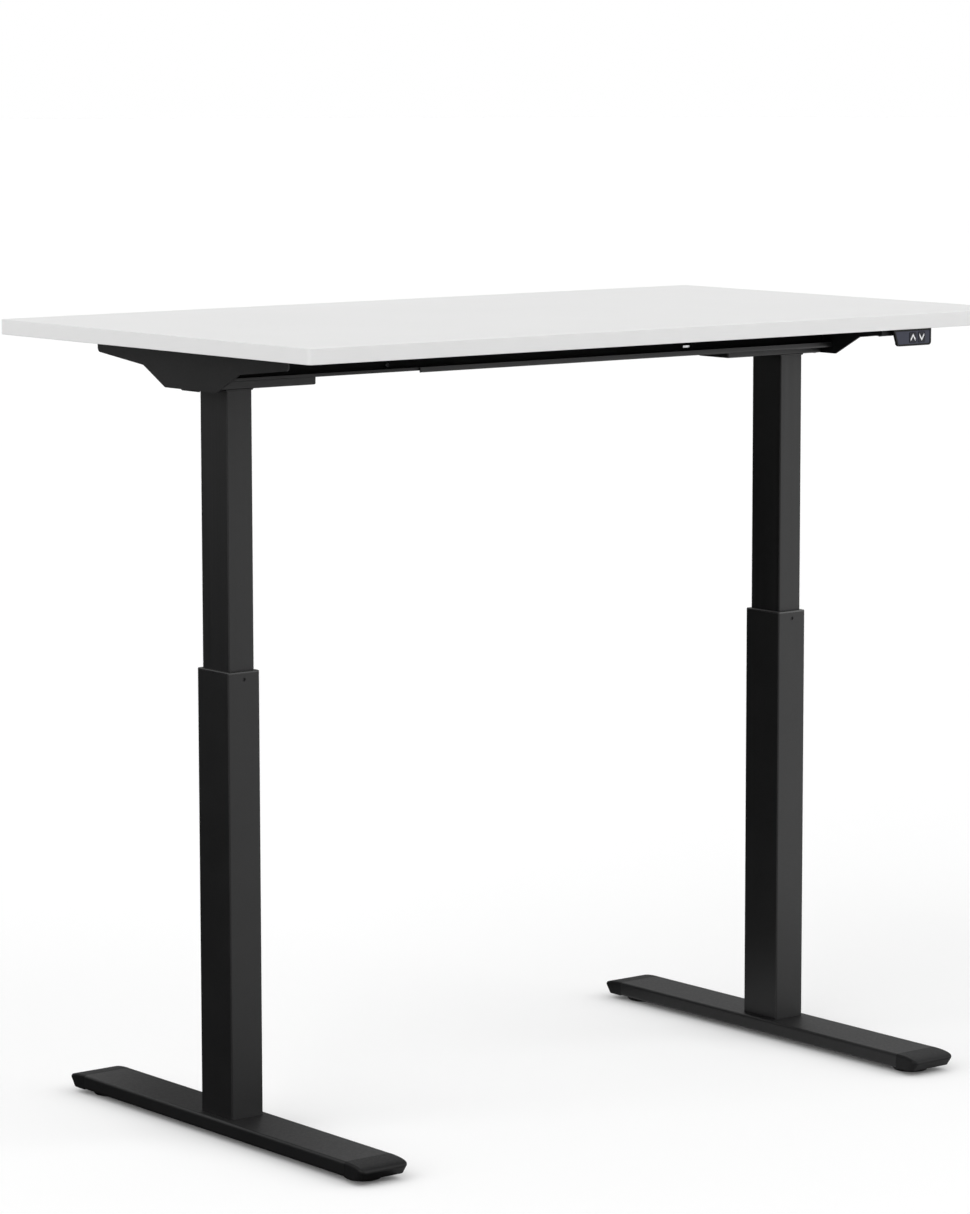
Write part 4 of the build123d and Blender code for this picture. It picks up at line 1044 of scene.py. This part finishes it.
class DESK_OT_control_box(bpy.types.Operator):
    """Finish the control box and fit its cable sockets and mains inlet"""

    bl_idname = "desk.control_box"
    bl_label = "Control Box"

    def execute(self, context):
        finishes = context.scene.desk_finishes
        details = context.scene.desk_details
        plastic = finish_of(moulded_plastic, finishes.plastic)
        dress(["control_box", "control_lid"], plastic, details.plastic_edge)
        dress(["control_board", "keypad_board"], finish_of(circuit_board, finishes.solder_mask))
        stated = frame["record"]["physics"]["openings"]
        openings = {opening["name"]: opening["box_m"] for opening in stated}
        shape = bmesh.new()
        for number in (1, 2, 3):
            opening = openings["cable_socket_%d" % number]
            self.socket(shape, opening, details, CABLE_RIM, CABLE_PINS, CABLE_PIN)
        self.socket(shape, openings["mains_inlet"], details, MAINS_RIM, MAINS_PINS, MAINS_PIN)
        materials = [plastic, finish_of(zinc_plate, finishes.zinc)]
        make_piece(shape, "control_sockets", materials, "top_frame")
        return {"FINISHED"}

    def socket(self, shape, opening, details, rim, pins, pin_size):
        """Lipped pocket in an opening of the case, with contact pins at its bottom."""
        low, high = (Vector(corner) for corner in opening)
        case_low, case_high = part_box("control_box")
        outward = Vector((math.copysign(1.0, low.x + high.x), 0.0, 0.0))
        face = case_high.x if outward.x > 0.0 else case_low.x
        mouth = Vector((face, (low.y + high.y) / 2, (low.z + high.z) / 2)) + details.socket_lip * outward
        lip = Vector((high.y - low.y + 2 * rim, high.z - low.z + 2 * rim, details.socket_lip))
        part = bmesh.new()
        bmesh.ops.create_cube(part, size=1.0, matrix=Matrix.Diagonal((*lip, 1.0)))
        part.normal_update()
        front = [side for side in part.faces if side.normal.z > 0.5]
        bmesh.ops.inset_individual(part, faces=front, thickness=SOCKET_INSET * rim)
        bottom = bmesh.ops.extrude_discrete_faces(part, faces=front)["faces"]
        bmesh.ops.translate(part, verts=bottom[0].verts, vec=(0.0, 0.0, -details.socket_depth))
        put(shape, part, mouth - details.socket_lip / 2 * outward, outward)
        length = PIN_LENGTH * details.socket_depth
        half = Vector((length, *pin_size)) / 2
        for y, z in pins:
            centre = mouth - (details.socket_depth - length / 2) * outward + Vector((0.0, y, z))
            block(shape, (centre - half, centre + half), PIN_EDGE * pin_size[0], 1)


class DESK_OT_keypad(bpy.types.Operator):
    """Finish the keypad's panel and buttons and print their arrows"""

    bl_idname = "desk.keypad"
    bl_label = "Keypad"

    def execute(self, context):
        finishes = context.scene.desk_finishes
        details = context.scene.desk_details
        dress(["keypad_panel"], finish_of(keypad_gloss, finishes.panel), details.keypad_edge)
        caps = ["keypad_up_button", "keypad_down_button"]
        dress(caps, finish_of(button_gloss, finishes.button), details.keypad_edge)
        ink = finish_of(printed_mark, finishes.mark)
        for way, sign in (("up", 1.0), ("down", -1.0)):
            self.arrow(way, sign, details, ink)
        return {"FINISHED"}

    def arrow(self, way, sign, details, ink):
        """Chevron on a button's face, pointing up or down."""
        low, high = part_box("keypad_" + way + "_button")
        middle_x = (low.x + high.x) / 2
        middle_z = (low.z + high.z) / 2
        half = details.arrow_width / 2
        rise = sign * (details.arrow_height - details.arrow_stroke) / 2
        stroke = sign * details.arrow_stroke
        outline = [
            (-half, -rise - stroke / 2), (0.0, rise - stroke / 2), (half, -rise - stroke / 2),
            (half, -rise + stroke / 2), (0.0, rise + stroke / 2), (-half, -rise + stroke / 2),
        ]
        shape = bmesh.new()
        points = [(middle_x + x, low.y, middle_z + z) for x, z in outline]
        face = bmesh.ops.triangle_fill(shape, edges=loop_of(shape, points), use_beauty=True)
        faces = [item for item in face["geom"] if isinstance(item, bmesh.types.BMFace)]
        raised = bmesh.ops.extrude_face_region(shape, geom=faces, use_keep_orig=True)
        verts = [item for item in raised["geom"] if isinstance(item, bmesh.types.BMVert)]
        bmesh.ops.translate(shape, verts=verts, vec=(0.0, -details.print_depth, 0.0))
        make_piece(shape, "keypad_" + way + "_arrow", [ink], way + "_button")


class DESK_OT_studio(bpy.types.Operator):
    """Set up the floor, light and camera"""

    bl_idname = "desk.studio"
    bl_label = "Studio"

    def execute(self, context):
        studio = context.scene.desk_studio
        studio_floor(studio)
        studio_world(studio)
        soft_sun("key_light", studio.key, *KEY_AIM)
        soft_sun("fill_light", studio.fill, *FILL_AIM)
        soft_sun("top_light", studio.top, *TOP_AIM)
        self.cards(studio)
        studio_camera(studio)
        context.scene.view_settings.view_transform = "Standard"
        return {"FINISHED"}

    def cards(self, studio):
        """Cards whose reflections set the tones of the black faces."""
        heading = studio.camera_heading
        reaches = [studio.black_height * UP, studio.black_depth * FORWARD]
        reflected_card("black_card", 0.0, studio.black_place, heading, studio.card_width, reaches)
        reaches = [studio.near_height * UP]
        reflected_card("near_card", 0.0, studio.near_place, heading, studio.near_width, reaches)
        reaches = [studio.white_height * UP, -studio.white_depth * FORWARD]
        shade, width = studio.white_shade, studio.white_width
        reflected_card("white_card", shade, studio.white_place, heading, width, reaches)
        reaches = [studio.grey_height * UP]
        shade, width = studio.grey_shade, studio.card_width
        reflected_card("grey_card", shade, studio.grey_place, -heading, width, reaches)


class DESK_PT_sidebar(bpy.types.Panel):
    """Lists the desk's operators and settings"""

    bl_idname = "DESK_PT_sidebar"
    bl_label = "Standing Desk"
    bl_space_type = "VIEW_3D"
    bl_region_type = "UI"
    bl_category = "Desk"

    def draw(self, context):
        for operator in OPERATORS:
            self.layout.operator(operator.bl_idname)
        for group in GROUPS:
            settings = getattr(context.scene, group)
            box = self.layout.box()
            for name in settings.__annotations__:
                box.prop(settings, name)


GROUPS = {"desk_finishes": DeskFinishes, "desk_details": DeskDetails, "desk_studio": DeskStudio}
OPERATORS = (
    DESK_OT_steel_frame,
    DESK_OT_desktop,
    DESK_OT_mouldings,
    DESK_OT_levellers,
    DESK_OT_drive,
    DESK_OT_fasteners,
    DESK_OT_control_box,
    DESK_OT_keypad,
    DESK_OT_studio,
)


def register():
    for name, group in GROUPS.items():
        bpy.utils.register_class(group)
        setattr(bpy.types.Scene, name, bpy.props.PointerProperty(type=group))
    for listed in (*OPERATORS, DESK_PT_sidebar):
        bpy.utils.register_class(listed)


def unregister():
    for listed in (DESK_PT_sidebar, *reversed(OPERATORS)):
        bpy.utils.unregister_class(listed)
    for name, group in GROUPS.items():
        delattr(bpy.types.Scene, name)
        bpy.utils.unregister_class(group)


def main():
    register()
    bpy.ops.desk.steel_frame()
    bpy.ops.desk.desktop()
    bpy.ops.desk.mouldings()
    bpy.ops.desk.levellers()
    bpy.ops.desk.drive()
    bpy.ops.desk.fasteners()
    bpy.ops.desk.control_box()
    bpy.ops.desk.keypad()
    bpy.ops.desk.studio()


if __name__ == "__main__":
    main()
